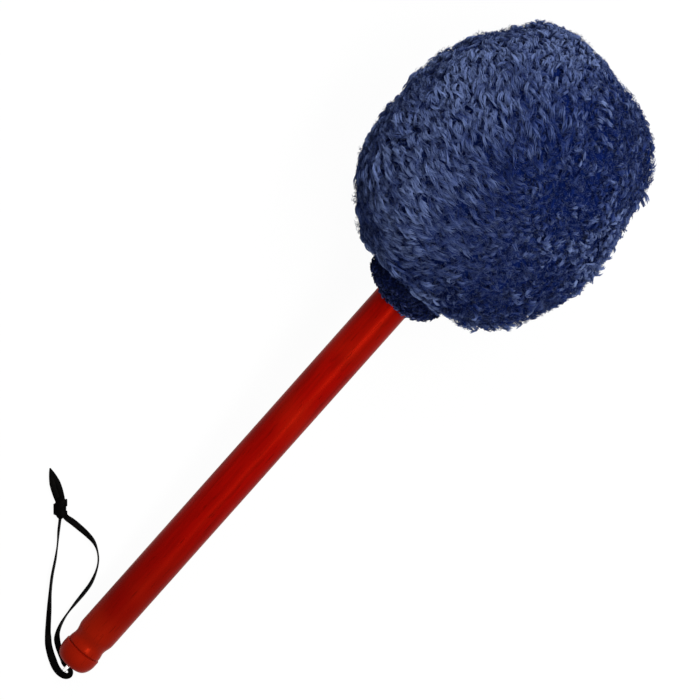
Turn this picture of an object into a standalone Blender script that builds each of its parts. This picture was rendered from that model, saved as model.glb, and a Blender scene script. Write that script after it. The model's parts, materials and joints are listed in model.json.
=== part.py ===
"""A large gong beater with a turned handle, a padded head under a fleece cover, and a leather wrist lace.

Metres, +Z up. The beater lies on its side on the plane z = 0 with its handle over the X axis and its head
towards +X. It rests on the knob of the handle and on the fleece, which is pressed flat where it lies.
"Along" is the distance from the end face of the knob, measured on the handle's own axis.
"""
from math import asin, atan2, cos, degrees, exp, hypot, pi, radians, sin, tau

import bmesh
import bpy
from mathutils import Matrix, Vector, noise

# Clearance between meshes that touch on the real beater
GAP = 0.0003

# Handle: a shaft with a cove, a scored groove and a rounded knob at its end, and a tenon in the head
SHAFT_RADIUS = 0.01055
KNOB_RADIUS = 0.0108
KNOB_CREST_ALONG = 0.0078
END_FACE_RADIUS = 0.0062
GROOVE_ALONG = 0.0111
GROOVE_HALF_WIDTH = 0.0005
GROOVE_DEPTH = 0.0007
COVE_RADIUS = 0.0095
COVE_LOW_ALONG = 0.0162
COVE_END_ALONG = 0.0228
TENON_RADIUS = 0.0080
TENON_END_CHAMFER = 0.0010

# Screw eye: a wire ring on a threaded shank
EYE_WIRE_RADIUS = 0.0008
EYE_HOLE_RADIUS = 0.0015
EYE_SUNK = 0.0006
EYE_SHANK_RADIUS = 0.0010
EYE_THREAD_RADIUS = 0.0013
EYE_THREAD_PITCH = 0.0010
EYE_SHANK_LENGTH = 0.0140
DIMPLE_RADIUS = 0.0026
DIMPLE_DEPTH = 0.0011

# Head: widest ring, reach from it to either side, and how square each side's shoulder is
HEAD_RADIUS = 0.0719
HEAD_WIDEST_ALONG = 0.3466
HEAD_REACH_BACK = 0.0730
HEAD_REACH_FRONT = 0.0866
BACK_POWER = 2.4
FRONT_POWER = 2.2
REST_FLAT_DEPTH = 0.0015

# Bulges and dents of the stuffed head, level with the table: heading from +X in degrees, height, and how far
# from its middle the bulge has fallen to about a third, in degrees
HEAD_BULGES = (
    (21.7, 0.0062, 12.0),
    (61.7, 0.0018, 14.0),
    (-10.3, -0.0026, 11.0),
    (-38.3, 0.0034, 13.0),
    (-68.3, -0.0034, 14.0),
    (-118.3, -0.0022, 9.0),
    (-132.3, 0.0014, 10.0),
)

# Fleece cover, the tufts that its pile stands in, and its gathered hem
COVER_WALL = 0.0090
COVER_MOUTH_LENGTH = 0.0016
TUFT_SPACING = 0.0125
TUFT_HEIGHT = 0.0050
TUFTS_SET_IN = 0.42
TUFTS_CLEAR_OF_TABLE = 0.0110
SKIRT_RADIUS = 0.0360
SKIRT_WIDTH = 0.0090
SKIRT_FULLNESS = 0.0026
NECK_RADIUS = 0.0220
HEM_LENGTH = 0.0090
HEM_EDGE_RADIUS = 0.0130
HEM_SWELL = 1.6
HEM_PLEATS = 12
HEM_PLEAT_DEPTH = 0.0014
HEM_EDGE_ROUND = 0.0008
DRAW_CORD_RADIUS = 0.0009
DRAW_CORD_FROM_EDGE = 0.0050

# Cotton bag under the cover, and the thread that ties it to the handle
LINER_WALL = 0.0010
LINER_NECK_LENGTH = 0.0056
TIE_RADIUS = 0.0007

# Core: wooden drum and steel weight on the tenon, held by a screw and washer, wrapped in felt
CORE_INSIDE_HEAD = 0.0324
CORE_RADIUS = 0.0240
DRUM_LENGTH = 0.0640
WEIGHT_LENGTH = 0.0240
CORE_CHAMFER = 0.0015
TENON_SHORT_OF_CORE = 0.0010
WASHER_RADIUS = 0.0150
WASHER_THICKNESS = 0.0020
SCREW_RADIUS = 0.0025
SCREW_THREAD_RADIUS = 0.0030
SCREW_THREAD_PITCH = 0.0030
SCREW_LENGTH = 0.0450
SCREW_HEAD_RADIUS = 0.0058
SCREW_HEAD_HEIGHT = 0.0040
SCREW_HEAD_CHAMFER = 0.0011
FELT_WRAP_INNER_WALL = 0.0067
FELT_WRAP_OUTER_WALL = 0.0067
FELT_WRAP_OVERHANG = 0.0060
FELT_DISC_BACK_THICKNESS = 0.0100
FELT_DISC_FRONT_THICKNESS = 0.0125

# Wrist lace: flat leather, drawn as a round cord of the same section where it runs free
LACE_TUBE_RADIUS = 0.0010
LACE_POINT_SPACING = 0.0045
LACE_POINT_SPACING_AT_EYE = 0.0016
KNOT_LENGTH = 0.0106
KNOT_WIDTH = 0.0074
KNOT_HEIGHT = 0.0050
TAIL_WIDTH = 0.0034
TAIL_THICKNESS = 0.0010
TAIL_UPPER_LENGTH = 0.0172
TAIL_LOWER_LENGTH = 0.0150

# How finely round pieces are faceted
HANDLE_SIDES = 32
CORE_SIDES = 28
HEAD_SIDES = 36
COVER_SIDES = 72
SMALL_SIDES = 14
WIRE_SIDES = 10
THREAD_SIDES = 8
EYE_RING_SIDES = 24
SIDES_PER_PLEAT = 5
COVER_BACK_STEPS = 16
COVER_FRONT_STEPS = 19
LAYER_STEPS = 5
KNOB_STEPS = 5
LACE_CURVE_STEPS = 24
SHARP_ANGLE = 0.6

# Routes of the lace, seen from above: metres from the vertical line through the eye's hole, height above
# the table. The outer strand lies furthest from the handle, the inner one passes close beside the knob.
LACE_AT_EYE = (
    (0.0043, 0.0107, 0.0012),
    (0.0028, 0.0079, 0.0015),
    (0.0013, 0.0049, 0.0036),
    (0.0002, 0.0026, 0.0071),
    (0.0000, 0.0000, 0.0089),
    (-0.0002, -0.0020, 0.0088),
    (-0.0013, -0.0034, 0.0083),
    (-0.0031, -0.0036, 0.0073),
    (-0.0048, -0.0018, 0.0059),
    (-0.0053, 0.0015, 0.0043),
    (-0.0046, 0.0050, 0.0027),
    (-0.0030, 0.0084, 0.0015),
    (-0.0014, 0.0113, 0.0012),
)
LACE_OUTER_ROUTE = (
    (-0.0009, 0.0122, 0.0012),
    (0.0014, 0.0153, 0.0012),
    (0.0044, 0.0183, 0.0012),
    (0.0075, 0.0211, 0.0012),
    (0.0156, 0.0275, 0.0012),
    (0.0231, 0.0334, 0.0012),
    (0.0305, 0.0386, 0.0013),
    (0.0383, 0.0432, 0.0015),
    (0.0448, 0.0475, 0.0016),
    (0.0507, 0.0519, 0.0017),
    (0.0560, 0.0556, 0.0020),
)
LACE_INNER_ROUTE = (
    (0.0049, 0.0116, 0.0012),
    (0.0064, 0.0136, 0.0012),
    (0.0088, 0.0156, 0.0012),
    (0.0122, 0.0172, 0.0012),
    (0.0166, 0.0184, 0.0012),
    (0.0217, 0.0191, 0.0012),
    (0.0282, 0.0195, 0.0012),
    (0.0353, 0.0198, 0.0012),
    (0.0416, 0.0205, 0.0013),
    (0.0483, 0.0227, 0.0015),
    (0.0533, 0.0257, 0.0017),
    (0.0570, 0.0299, 0.0015),
    (0.0590, 0.0343, 0.0013),
    (0.0596, 0.0392, 0.0013),
    (0.0596, 0.0447, 0.0015),
    (0.0594, 0.0498, 0.0018),
    (0.0590, 0.0537, 0.0021),
)
KNOT_PLACE = (0.0606, 0.0594)
KNOT_TURN = 0.733
TAIL_TURN = 1.04
TAIL_FAN = 0.05

# Outlines as shares: of the knot's half length and half width, and of the tail's length and half width
KNOT_OUTLINE = (
    (-1.0, 0.0),
    (-1.0, 0.55),
    (-0.62, 0.95),
    (-0.25, 1.0),
    (0.08, 0.84),
    (0.42, 0.92),
    (0.78, 0.74),
    (1.0, 0.42),
    (1.0, 0.0),
)
TAIL_OUTLINE = ((0.0, 0.8), (0.25, 1.0), (0.65, 0.85), (0.92, 0.3))


def clear_scene():
    for old in list(bpy.data.objects):
        bpy.data.objects.remove(old, do_unlink=True)


def make_material(name, colour, roughness, metallic=0.0):
    material = bpy.data.materials.new(name)
    material.use_nodes = True
    shader = material.node_tree.nodes["Principled BSDF"]
    shader.inputs["Base Color"].default_value = (*colour, 1.0)
    shader.inputs["Roughness"].default_value = roughness
    shader.inputs["Metallic"].default_value = metallic
    return material


def add_mesh(name, shape, material, parent):
    """Turns a bmesh into a smooth-shaded object under its parent."""
    bmesh.ops.recalc_face_normals(shape, faces=shape.faces)
    mesh = bpy.data.meshes.new(name)
    shape.to_mesh(mesh)
    shape.free()
    mesh.materials.append(material)
    mesh.shade_smooth()
    mesh.set_sharp_from_angle(angle=SHARP_ANGLE)
    piece = bpy.data.objects.new(name, mesh)
    bpy.context.scene.collection.objects.link(piece)
    piece.parent = parent
    return piece


def turned(outline, sides):
    """Spins an outline of (along, radius) points about X. One side of the result lies square to -Z.

    An outline whose two ends are on the axis closes there, and any other is a ring.
    """
    shape = bmesh.new()
    half_side = Matrix.Rotation(pi / sides, 4, "X")
    points = [shape.verts.new(half_side @ Vector((along, 0, radius))) for along, radius in outline]
    lines = [shape.edges.new(pair) for pair in zip(points, points[1:])]
    if outline[0][1] > 0:
        lines.append(shape.edges.new((points[-1], points[0])))
    bmesh.ops.spin(shape, geom=points + lines, cent=(0, 0, 0), axis=(1, 0, 0), angle=tau, steps=sides)
    bmesh.ops.remove_doubles(shape, verts=shape.verts, dist=0.000001)
    return shape


def ring(along_start, along_end, inner, outer, chamfer=0.0):
    """Outline of a plain ring, with its outer edges cut off where a chamfer is given."""
    if chamfer == 0.0:
        return [(along_start, inner), (along_start, outer), (along_end, outer), (along_end, inner)]
    return [
        (along_start, inner),
        (along_start, outer - chamfer),
        (along_start + chamfer, outer),
        (along_end - chamfer, outer),
        (along_end, outer - chamfer),
        (along_end, inner),
    ]


def wire_ring(ring_radius, wire_radius, along, wire_sides):
    """Outline of a ring of round wire about the handle's axis."""
    return [
        (along + wire_radius * cos(tau * k / wire_sides), ring_radius + wire_radius * sin(tau * k / wire_sides))
        for k in range(wire_sides)
    ]


def half_wave(start, end, steps):
    """Points from start to end whose radius follows half a cosine, without the start itself."""
    points = []
    for k in range(1, steps + 1):
        share = k / steps
        ease = (1 - cos(pi * share)) / 2
        points.append((start[0] + (end[0] - start[0]) * share, start[1] + (end[1] - start[1]) * ease))
    return points


def back_shoulder(inset, first_radius, steps):
    """The head's surface, set in by inset, from first_radius at the neck to its widest ring."""
    radius = HEAD_RADIUS - inset
    reach = HEAD_REACH_BACK - inset
    first_turn = asin((first_radius / radius) ** (BACK_POWER / 2))
    points = []
    for k in range(steps + 1):
        turn = first_turn + (pi / 2 - first_turn) * k / steps
        along = HEAD_WIDEST_ALONG - reach * max(cos(turn), 0) ** (2 / BACK_POWER)
        points.append((along, radius * sin(turn) ** (2 / BACK_POWER)))
    return points


def front_shoulder(inset, steps):
    """The head's surface, set in by inset, from just past its widest ring to its far end on the axis."""
    radius = HEAD_RADIUS - inset
    reach = HEAD_REACH_FRONT - inset
    points = []
    for k in range(1, steps):
        turn = pi / 2 * k / steps
        along = HEAD_WIDEST_ALONG + reach * sin(turn) ** (2 / FRONT_POWER)
        points.append((along, radius * cos(turn) ** (2 / FRONT_POWER)))
    return points + [(HEAD_WIDEST_ALONG + reach, 0.0)]


def head_surface(inset, first_radius, back_steps, front_steps):
    return back_shoulder(inset, first_radius, back_steps) + front_shoulder(inset, front_steps)


# Places along the axis that several pieces share
EYE_RING_RADIUS = EYE_HOLE_RADIUS + EYE_WIRE_RADIUS
EYE_ALONG = EYE_SUNK - EYE_RING_RADIUS - EYE_WIRE_RADIUS
HEAD_BACK_ALONG = HEAD_WIDEST_ALONG - HEAD_REACH_BACK
COVER_MOUTH_ALONG = HEAD_BACK_ALONG - COVER_MOUTH_LENGTH
CORE_ALONG = HEAD_BACK_ALONG + CORE_INSIDE_HEAD
WEIGHT_ALONG = CORE_ALONG + DRUM_LENGTH + GAP
CORE_END_ALONG = WEIGHT_ALONG + WEIGHT_LENGTH
WASHER_ALONG = CORE_END_ALONG + GAP
SCREW_HEAD_ALONG = WASHER_ALONG + WASHER_THICKNESS + GAP
SCREW_TIP_ALONG = SCREW_HEAD_ALONG - SCREW_LENGTH
TENON_END_ALONG = CORE_END_ALONG - TENON_SHORT_OF_CORE
DISC_BACK_ALONG = CORE_ALONG - GAP - FELT_DISC_BACK_THICKNESS
DISC_FRONT_ALONG = CORE_END_ALONG + GAP
DISC_FRONT_END_ALONG = DISC_FRONT_ALONG + FELT_DISC_FRONT_THICKNESS
WRAP_INNER_RADIUS = CORE_RADIUS + GAP + FELT_WRAP_INNER_WALL
WRAP_OUTER_RADIUS = WRAP_INNER_RADIUS + GAP + FELT_WRAP_OUTER_WALL
WRAP_OUTER_ALONG = CORE_ALONG - FELT_WRAP_OVERHANG
WRAP_OUTER_END_ALONG = CORE_END_ALONG + FELT_WRAP_OVERHANG
HANDLE_HOLE_RADIUS = SHAFT_RADIUS + GAP
TENON_HOLE_RADIUS = TENON_RADIUS + GAP
LINER_INSET = COVER_WALL + GAP
PADDING_INSET = LINER_INSET + LINER_WALL + GAP
LINER_NECK_RADIUS = HANDLE_HOLE_RADIUS + LINER_WALL
TIE_RING_RADIUS = LINER_NECK_RADIUS + GAP + TIE_RADIUS
NECK_POCKET_RADIUS = TIE_RING_RADIUS + TIE_RADIUS + GAP
LINER_NECK_ALONG = HEAD_BACK_ALONG + LINER_INSET - LINER_NECK_LENGTH


def handle_outline():
    pilot_radius = EYE_THREAD_RADIUS + GAP
    pilot_end = EYE_SUNK + EYE_SHANK_LENGTH + GAP
    outline = [
        (pilot_end, 0.0),
        (pilot_end, pilot_radius),
        (DIMPLE_DEPTH, pilot_radius),
        (0.0, DIMPLE_RADIUS),
        (0.0, END_FACE_RADIUS),
    ]
    for k in range(1, KNOB_STEPS + 1):
        turn = pi / 2 * k / KNOB_STEPS
        along = KNOB_CREST_ALONG * (1 - cos(turn))
        outline.append((along, END_FACE_RADIUS + (KNOB_RADIUS - END_FACE_RADIUS) * sin(turn)))
    cove_edge_radius = (KNOB_RADIUS + COVE_RADIUS) / 2
    outline += half_wave(outline[-1], (GROOVE_ALONG - GROOVE_HALF_WIDTH, cove_edge_radius + GROOVE_HALF_WIDTH), 2)
    outline.append((GROOVE_ALONG, cove_edge_radius - GROOVE_DEPTH))
    cove_start = (GROOVE_ALONG + GROOVE_HALF_WIDTH, cove_edge_radius)
    outline.append(cove_start)
    outline += half_wave(cove_start, (COVE_LOW_ALONG, COVE_RADIUS), 3)
    outline += half_wave((COVE_LOW_ALONG, COVE_RADIUS), (COVE_END_ALONG, SHAFT_RADIUS), 4)
    screw_hole_radius = SCREW_THREAD_RADIUS + GAP
    screw_hole_end = SCREW_TIP_ALONG - GAP
    return outline + [
        (CORE_ALONG - GAP, SHAFT_RADIUS),
        (CORE_ALONG - GAP, TENON_RADIUS),
        (TENON_END_ALONG - TENON_END_CHAMFER, TENON_RADIUS),
        (TENON_END_ALONG, TENON_RADIUS - TENON_END_CHAMFER),
        (TENON_END_ALONG, screw_hole_radius),
        (screw_hole_end, screw_hole_radius),
        (screw_hole_end, 0.0),
    ]


def threaded(along_start, along_end, root, crest, pitch):
    """Outline of a threaded shank, drawn as a ridge for each turn, up to but not onto its tip."""
    points = []
    turns = max(int((along_end - along_start) / pitch), 1)
    step = (along_end - along_start) / turns
    for k in range(turns):
        points.append((along_start + step * k, root))
        points.append((along_start + step * (k + 0.5), crest))
    return points + [(along_end, root)]


def eased(value, low, high):
    """Runs smoothly from 0 at low to 1 at high."""
    share = min(max((value - low) / (high - low), 0.0), 1.0)
    return share * share * (3 - 2 * share)


def pile_height(point, tilt, axis_height):
    """How far the fleece stands out from the plain head at a point of it, for its bulges, tufts and skirt."""
    to_level = Matrix.Rotation(-tilt, 3, "Y")
    out = (to_level @ (point - Vector((HEAD_WIDEST_ALONG, 0, 0)))).normalized()
    bulge = 0.0
    for heading, height, width in HEAD_BULGES:
        way = Vector((cos(radians(heading)), sin(radians(heading)), 0))
        bulge += height * exp(-((degrees(out.angle(way)) / width) ** 2))
    nearest = noise.voronoi(point / TUFT_SPACING)[0][0]
    tuft = TUFT_HEIGHT * (TUFTS_SET_IN - nearest)
    radius = hypot(point.y, point.z)
    skirt = 0.0
    if point.x < HEAD_WIDEST_ALONG:
        skirt = SKIRT_FULLNESS * exp(-(((radius - SKIRT_RADIUS) / SKIRT_WIDTH) ** 2))
    above_table = (to_level @ point).z + axis_height
    free = eased(above_table, 0.0, TUFTS_CLEAR_OF_TABLE)
    if point.x < HEAD_WIDEST_ALONG:
        free *= eased(radius, NECK_RADIUS, SKIRT_RADIUS)
    return bulge + (tuft + skirt) * free


def cover_shape(tilt, axis_height):
    """The outside of the fleece, cut flat by the table, which lies axis_height below the end face's centre."""
    outside = head_surface(0.0, NECK_RADIUS, COVER_BACK_STEPS, COVER_FRONT_STEPS)
    mouth = [(COVER_MOUTH_ALONG, NECK_RADIUS - GAP), (COVER_MOUTH_ALONG, 0.0)]
    shape = turned(outside[::-1] + mouth, COVER_SIDES)
    middle = Vector((HEAD_WIDEST_ALONG, 0, 0))
    for point in shape.verts:
        if point.co.x > HEAD_BACK_ALONG + GAP:
            away = (point.co - middle).normalized()
            point.co += away * pile_height(point.co, tilt, axis_height)
    table_up = Vector((sin(tilt), 0, cos(tilt)))
    cut = bmesh.ops.bisect_plane(
        shape,
        geom=shape.verts[:] + shape.edges[:] + shape.faces[:],
        dist=0.000001,
        plane_co=table_up * -axis_height,
        plane_no=table_up,
        clear_inner=True,
    )
    rim = [item for item in cut["geom_cut"] if isinstance(item, bmesh.types.BMEdge)]
    bmesh.ops.contextual_create(shape, geom=rim)
    return shape


def cover_cavity_outline():
    inside = head_surface(COVER_WALL, NECK_POCKET_RADIUS, LAYER_STEPS, LAYER_STEPS)
    past_mouth = COVER_MOUTH_ALONG - COVER_MOUTH_LENGTH
    neck = [
        (past_mouth, 0.0),
        (past_mouth, HANDLE_HOLE_RADIUS),
        (LINER_NECK_ALONG - GAP, HANDLE_HOLE_RADIUS),
        (LINER_NECK_ALONG - GAP, NECK_POCKET_RADIUS),
    ]
    return neck + inside


def add_handle_parts(mallet):
    wood = make_material("red_stained_wood", (0.38, 0.006, 0.004), 0.35)
    steel = make_material("bright_steel", (0.78, 0.78, 0.76), 0.2, 1.0)
    add_mesh("handle", turned(handle_outline(), HANDLE_SIDES), wood, mallet)

    neck_along = EYE_ALONG + EYE_RING_RADIUS
    tip_along = EYE_SUNK + EYE_SHANK_LENGTH
    plain_end = DIMPLE_DEPTH + EYE_THREAD_PITCH
    tip_start = tip_along - EYE_THREAD_PITCH
    shank_outline = [(neck_along, 0.0), (neck_along, EYE_SHANK_RADIUS)]
    shank_outline += threaded(plain_end, tip_start, EYE_SHANK_RADIUS, EYE_THREAD_RADIUS, EYE_THREAD_PITCH)
    shank_outline.append((tip_along, 0.0))
    shank = add_mesh("screw_eye_shank", turned(shank_outline, SMALL_SIDES), steel, mallet)
    shank.hide_render = True
    shank.display_type = "WIRE"
    wire = turned(wire_ring(EYE_RING_RADIUS, EYE_WIRE_RADIUS, 0.0, WIRE_SIDES), EYE_RING_SIDES)
    bmesh.ops.rotate(wire, verts=wire.verts, cent=(0, 0, 0), matrix=Matrix.Rotation(pi / 2, 3, "Z"))
    bmesh.ops.translate(wire, verts=wire.verts, vec=(EYE_ALONG, 0, 0))
    eye = add_mesh("screw_eye", wire, steel, mallet)
    join = eye.modifiers.new("join_shank", "BOOLEAN")
    join.operation = "UNION"
    join.solver = "EXACT"
    join.object = shank


def add_core_parts(mallet):
    maple = make_material("core_maple", (0.56, 0.40, 0.24), 0.6)
    steel = make_material("zinc_steel", (0.62, 0.63, 0.65), 0.35, 1.0)
    drum = ring(CORE_ALONG, WEIGHT_ALONG - GAP, TENON_HOLE_RADIUS, CORE_RADIUS, CORE_CHAMFER)
    weight = ring(WEIGHT_ALONG, CORE_END_ALONG, TENON_HOLE_RADIUS, CORE_RADIUS, CORE_CHAMFER)
    screw_hole_radius = SCREW_RADIUS + GAP
    washer = ring(WASHER_ALONG, WASHER_ALONG + WASHER_THICKNESS, screw_hole_radius, WASHER_RADIUS)
    add_mesh("core_drum", turned(drum, CORE_SIDES), maple, mallet)
    add_mesh("core_weight", turned(weight, CORE_SIDES), steel, mallet)
    add_mesh("core_washer", turned(washer, CORE_SIDES), steel, mallet)

    thread_start = TENON_END_ALONG - SCREW_THREAD_PITCH / 2
    tip_start = SCREW_TIP_ALONG + SCREW_THREAD_PITCH
    turns = threaded(tip_start, thread_start, SCREW_RADIUS, SCREW_THREAD_RADIUS, SCREW_THREAD_PITCH)
    head_end = SCREW_HEAD_ALONG + SCREW_HEAD_HEIGHT
    screw = [(SCREW_TIP_ALONG, 0.0)] + turns + [
        (SCREW_HEAD_ALONG, SCREW_RADIUS),
        (SCREW_HEAD_ALONG, SCREW_HEAD_RADIUS),
        (head_end - SCREW_HEAD_CHAMFER, SCREW_HEAD_RADIUS),
        (head_end, SCREW_HEAD_RADIUS - SCREW_HEAD_CHAMFER),
        (head_end, 0.0),
    ]
    add_mesh("core_screw", turned(screw, SMALL_SIDES), steel, mallet)


def add_felt_parts(mallet):
    felt = make_material("grey_felt", (0.42, 0.41, 0.38), 0.95)
    disc_back = ring(DISC_BACK_ALONG, CORE_ALONG - GAP, HANDLE_HOLE_RADIUS, WRAP_INNER_RADIUS)
    wrap_inner = ring(CORE_ALONG, CORE_END_ALONG, CORE_RADIUS + GAP, WRAP_INNER_RADIUS)
    wrap_outer = ring(WRAP_OUTER_ALONG, WRAP_OUTER_END_ALONG, WRAP_INNER_RADIUS + GAP, WRAP_OUTER_RADIUS)
    pocket_end = SCREW_HEAD_ALONG + SCREW_HEAD_HEIGHT + GAP
    pocket_radius = WASHER_RADIUS + GAP
    disc_front = [
        (pocket_end, 0.0),
        (pocket_end, pocket_radius),
        (DISC_FRONT_ALONG, pocket_radius),
        (DISC_FRONT_ALONG, WRAP_INNER_RADIUS),
        (DISC_FRONT_END_ALONG, WRAP_INNER_RADIUS),
        (DISC_FRONT_END_ALONG, 0.0),
    ]
    add_mesh("felt_disc_back", turned(disc_back, CORE_SIDES), felt, mallet)
    add_mesh("felt_disc_front", turned(disc_front, CORE_SIDES), felt, mallet)
    add_mesh("felt_wrap_inner", turned(wrap_inner, CORE_SIDES), felt, mallet)
    add_mesh("felt_wrap_outer", turned(wrap_outer, CORE_SIDES), felt, mallet)


def add_soft_layers(mallet):
    batting = make_material("white_batting", (0.80, 0.79, 0.75), 1.0)
    cotton = make_material("plain_cotton", (0.66, 0.63, 0.55), 0.9)
    thread = make_material("waxed_thread", (0.30, 0.26, 0.18), 0.7)
    outside = head_surface(PADDING_INSET, HANDLE_HOLE_RADIUS, LAYER_STEPS, LAYER_STEPS)
    disc_hole_radius = WRAP_INNER_RADIUS + GAP
    wrap_hole_radius = WRAP_OUTER_RADIUS + GAP
    pocket = [
        (DISC_BACK_ALONG - GAP, HANDLE_HOLE_RADIUS),
        (DISC_BACK_ALONG - GAP, disc_hole_radius),
        (WRAP_OUTER_ALONG - GAP, disc_hole_radius),
        (WRAP_OUTER_ALONG - GAP, wrap_hole_radius),
        (WRAP_OUTER_END_ALONG + GAP, wrap_hole_radius),
        (WRAP_OUTER_END_ALONG + GAP, disc_hole_radius),
        (DISC_FRONT_END_ALONG + GAP, disc_hole_radius),
        (DISC_FRONT_END_ALONG + GAP, 0.0),
    ]
    add_mesh("padding", turned(outside[::-1] + pocket, HEAD_SIDES), batting, mallet)

    outside = head_surface(LINER_INSET, NECK_POCKET_RADIUS, LAYER_STEPS, LAYER_STEPS)
    inside = head_surface(LINER_INSET + LINER_WALL, HANDLE_HOLE_RADIUS, LAYER_STEPS, LAYER_STEPS)
    neck = [
        (outside[0][0], LINER_NECK_RADIUS),
        (LINER_NECK_ALONG, LINER_NECK_RADIUS),
        (LINER_NECK_ALONG, HANDLE_HOLE_RADIUS),
    ]
    add_mesh("liner_bag", turned(outside[::-1] + neck + inside, HEAD_SIDES), cotton, mallet)
    tie_along = LINER_NECK_ALONG + LINER_NECK_LENGTH / 2
    tie_outline = wire_ring(TIE_RING_RADIUS, TIE_RADIUS, tie_along, THREAD_SIDES)
    add_mesh("liner_tie", turned(tie_outline, HEAD_SIDES), thread, mallet)


def cut_out(piece, cutter):
    """Takes a cutter's space out of a piece. The cutter itself isn't part of the mallet."""
    cutter.hide_render = True
    cutter.display_type = "WIRE"
    cut = piece.modifiers.new("cut_out_" + cutter.name, "BOOLEAN")
    cut.operation = "DIFFERENCE"
    cut.solver = "EXACT"
    cut.object = cutter


def add_cover(mallet, shape):
    fleece = make_material("navy_fleece", (0.045, 0.06, 0.16), 0.95)
    cover = add_mesh("fleece_cover", shape, fleece, mallet)
    cut_out(cover, add_mesh("cover_cavity", turned(cover_cavity_outline(), HEAD_SIDES), fleece, mallet))


def add_hem(mallet):
    """The cover's gathered edge, which flares from its drawn end to the neck, and the cord inside it."""
    knit = make_material("dark_knit", (0.03, 0.04, 0.10), 0.95)
    cotton_cord = make_material("black_cord", (0.02, 0.02, 0.025), 0.8)
    end_along = COVER_MOUTH_ALONG - GAP
    start_along = end_along - HEM_LENGTH
    channel_along = start_along + DRAW_CORD_FROM_EDGE
    channel_half = DRAW_CORD_RADIUS + GAP
    channel_radius = SHAFT_RADIUS + 2 * GAP + 2 * DRAW_CORD_RADIUS + GAP
    outline = [
        (start_along, HANDLE_HOLE_RADIUS),
        (start_along, HEM_EDGE_RADIUS - HEM_EDGE_ROUND),
        (start_along + HEM_EDGE_ROUND, HEM_EDGE_RADIUS),
    ]
    swell_along, swell_radius = outline[-1]
    for k in range(1, 5):
        share = 1 - (1 - k / 4) ** HEM_SWELL
        along = swell_along + (end_along - HEM_EDGE_ROUND - swell_along) * k / 4
        outline.append((along, swell_radius + (NECK_RADIUS - swell_radius) * share))
    outline += [
        (end_along, NECK_RADIUS - HEM_EDGE_ROUND),
        (end_along, HANDLE_HOLE_RADIUS),
        (channel_along + channel_half, HANDLE_HOLE_RADIUS),
        (channel_along + channel_half, channel_radius),
        (channel_along - channel_half, channel_radius),
        (channel_along - channel_half, HANDLE_HOLE_RADIUS),
    ]
    shape = turned(outline, HEM_PLEATS * SIDES_PER_PLEAT)
    for point in shape.verts:
        radius = hypot(point.co.y, point.co.z)
        turn = atan2(point.co.y, point.co.z)
        depth = HEM_PLEAT_DEPTH * eased(radius, channel_radius + GAP, NECK_RADIUS)
        pleated = radius + depth * (cos(HEM_PLEATS * turn) - 1) / 2
        point.co.y *= pleated / radius
        point.co.z *= pleated / radius
    add_mesh("cover_hem", shape, knit, mallet)
    cord_ring_radius = SHAFT_RADIUS + 2 * GAP + DRAW_CORD_RADIUS
    cord_outline = wire_ring(cord_ring_radius, DRAW_CORD_RADIUS, channel_along, THREAD_SIDES)
    add_mesh("draw_cord", turned(cord_outline, HANDLE_SIDES), cotton_cord, mallet)


def smooth_route(route, spacing):
    """Points a spacing apart on the smooth curve through the route's own points."""
    knots = [Vector(point) for point in route]
    padded = [2 * knots[0] - knots[1]] + knots + [2 * knots[-1] - knots[-2]]
    fine = []
    for before, start, end, after in zip(padded, padded[1:], padded[2:], padded[3:]):
        for k in range(LACE_CURVE_STEPS):
            t = k / LACE_CURVE_STEPS
            fine.append(
                0.5
                * (
                    2 * start
                    + (end - before) * t
                    + (2 * before - 5 * start + 4 * end - after) * t**2
                    + (3 * start - before - 3 * end + after) * t**3
                )
            )
    fine.append(knots[-1])
    length = sum((b - a).length for a, b in zip(fine, fine[1:]))
    step = length / max(round(length / spacing), 1)
    points = [fine[0]]
    walked = 0.0
    for a, b in zip(fine, fine[1:]):
        piece = (b - a).length
        while walked + piece >= step * len(points) and step * len(points) < length - step / 2:
            points.append(a + (b - a) * ((step * len(points) - walked) / piece))
        walked += piece
    return points + [fine[-1]]


def add_tube(name, points, material, parent):
    curve = bpy.data.curves.new(name, "CURVE")
    curve.dimensions = "3D"
    curve.bevel_depth = LACE_TUBE_RADIUS
    curve.bevel_resolution = 2
    curve.use_fill_caps = True
    curve.materials.append(material)
    spline = curve.splines.new("POLY")
    spline.points.add(len(points) - 1)
    for target, point in zip(spline.points, points):
        target.co = (*point, 1.0)
    tube = bpy.data.objects.new(name, curve)
    bpy.context.scene.collection.objects.link(tube)
    tube.parent = parent


def add_tail(name, length, turn, low, material, parent):
    """A flat pointed lace end that leaves the knot's far end. Low is its underside's height."""
    side_points = [(length * along, TAIL_WIDTH / 2 * side) for along, side in TAIL_OUTLINE]
    outline = [Vector((along, side, low)) for along, side in side_points]
    outline.append(Vector((length, 0.0, low)))
    outline += [Vector((along, -side, low)) for along, side in reversed(side_points)]
    knot_direction = Vector((cos(KNOT_TURN), sin(KNOT_TURN), 0.0))
    corner_back = side_points[0][1] * abs(sin(turn - KNOT_TURN))
    place = Vector((*KNOT_PLACE, 0.0)) + knot_direction * (KNOT_LENGTH / 2 + GAP + corner_back)
    shape = bmesh.new()
    face = shape.faces.new([shape.verts.new(point) for point in outline])
    raised = bmesh.ops.extrude_face_region(shape, geom=[face])
    top = [item for item in raised["geom"] if isinstance(item, bmesh.types.BMVert)]
    bmesh.ops.translate(shape, verts=top, vec=(0, 0, TAIL_THICKNESS))
    bmesh.ops.rotate(shape, verts=shape.verts, cent=(0, 0, 0), matrix=Matrix.Rotation(turn, 3, "Z"))
    bmesh.ops.translate(shape, verts=shape.verts, vec=place)
    add_mesh(name, shape, material, parent)


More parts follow.
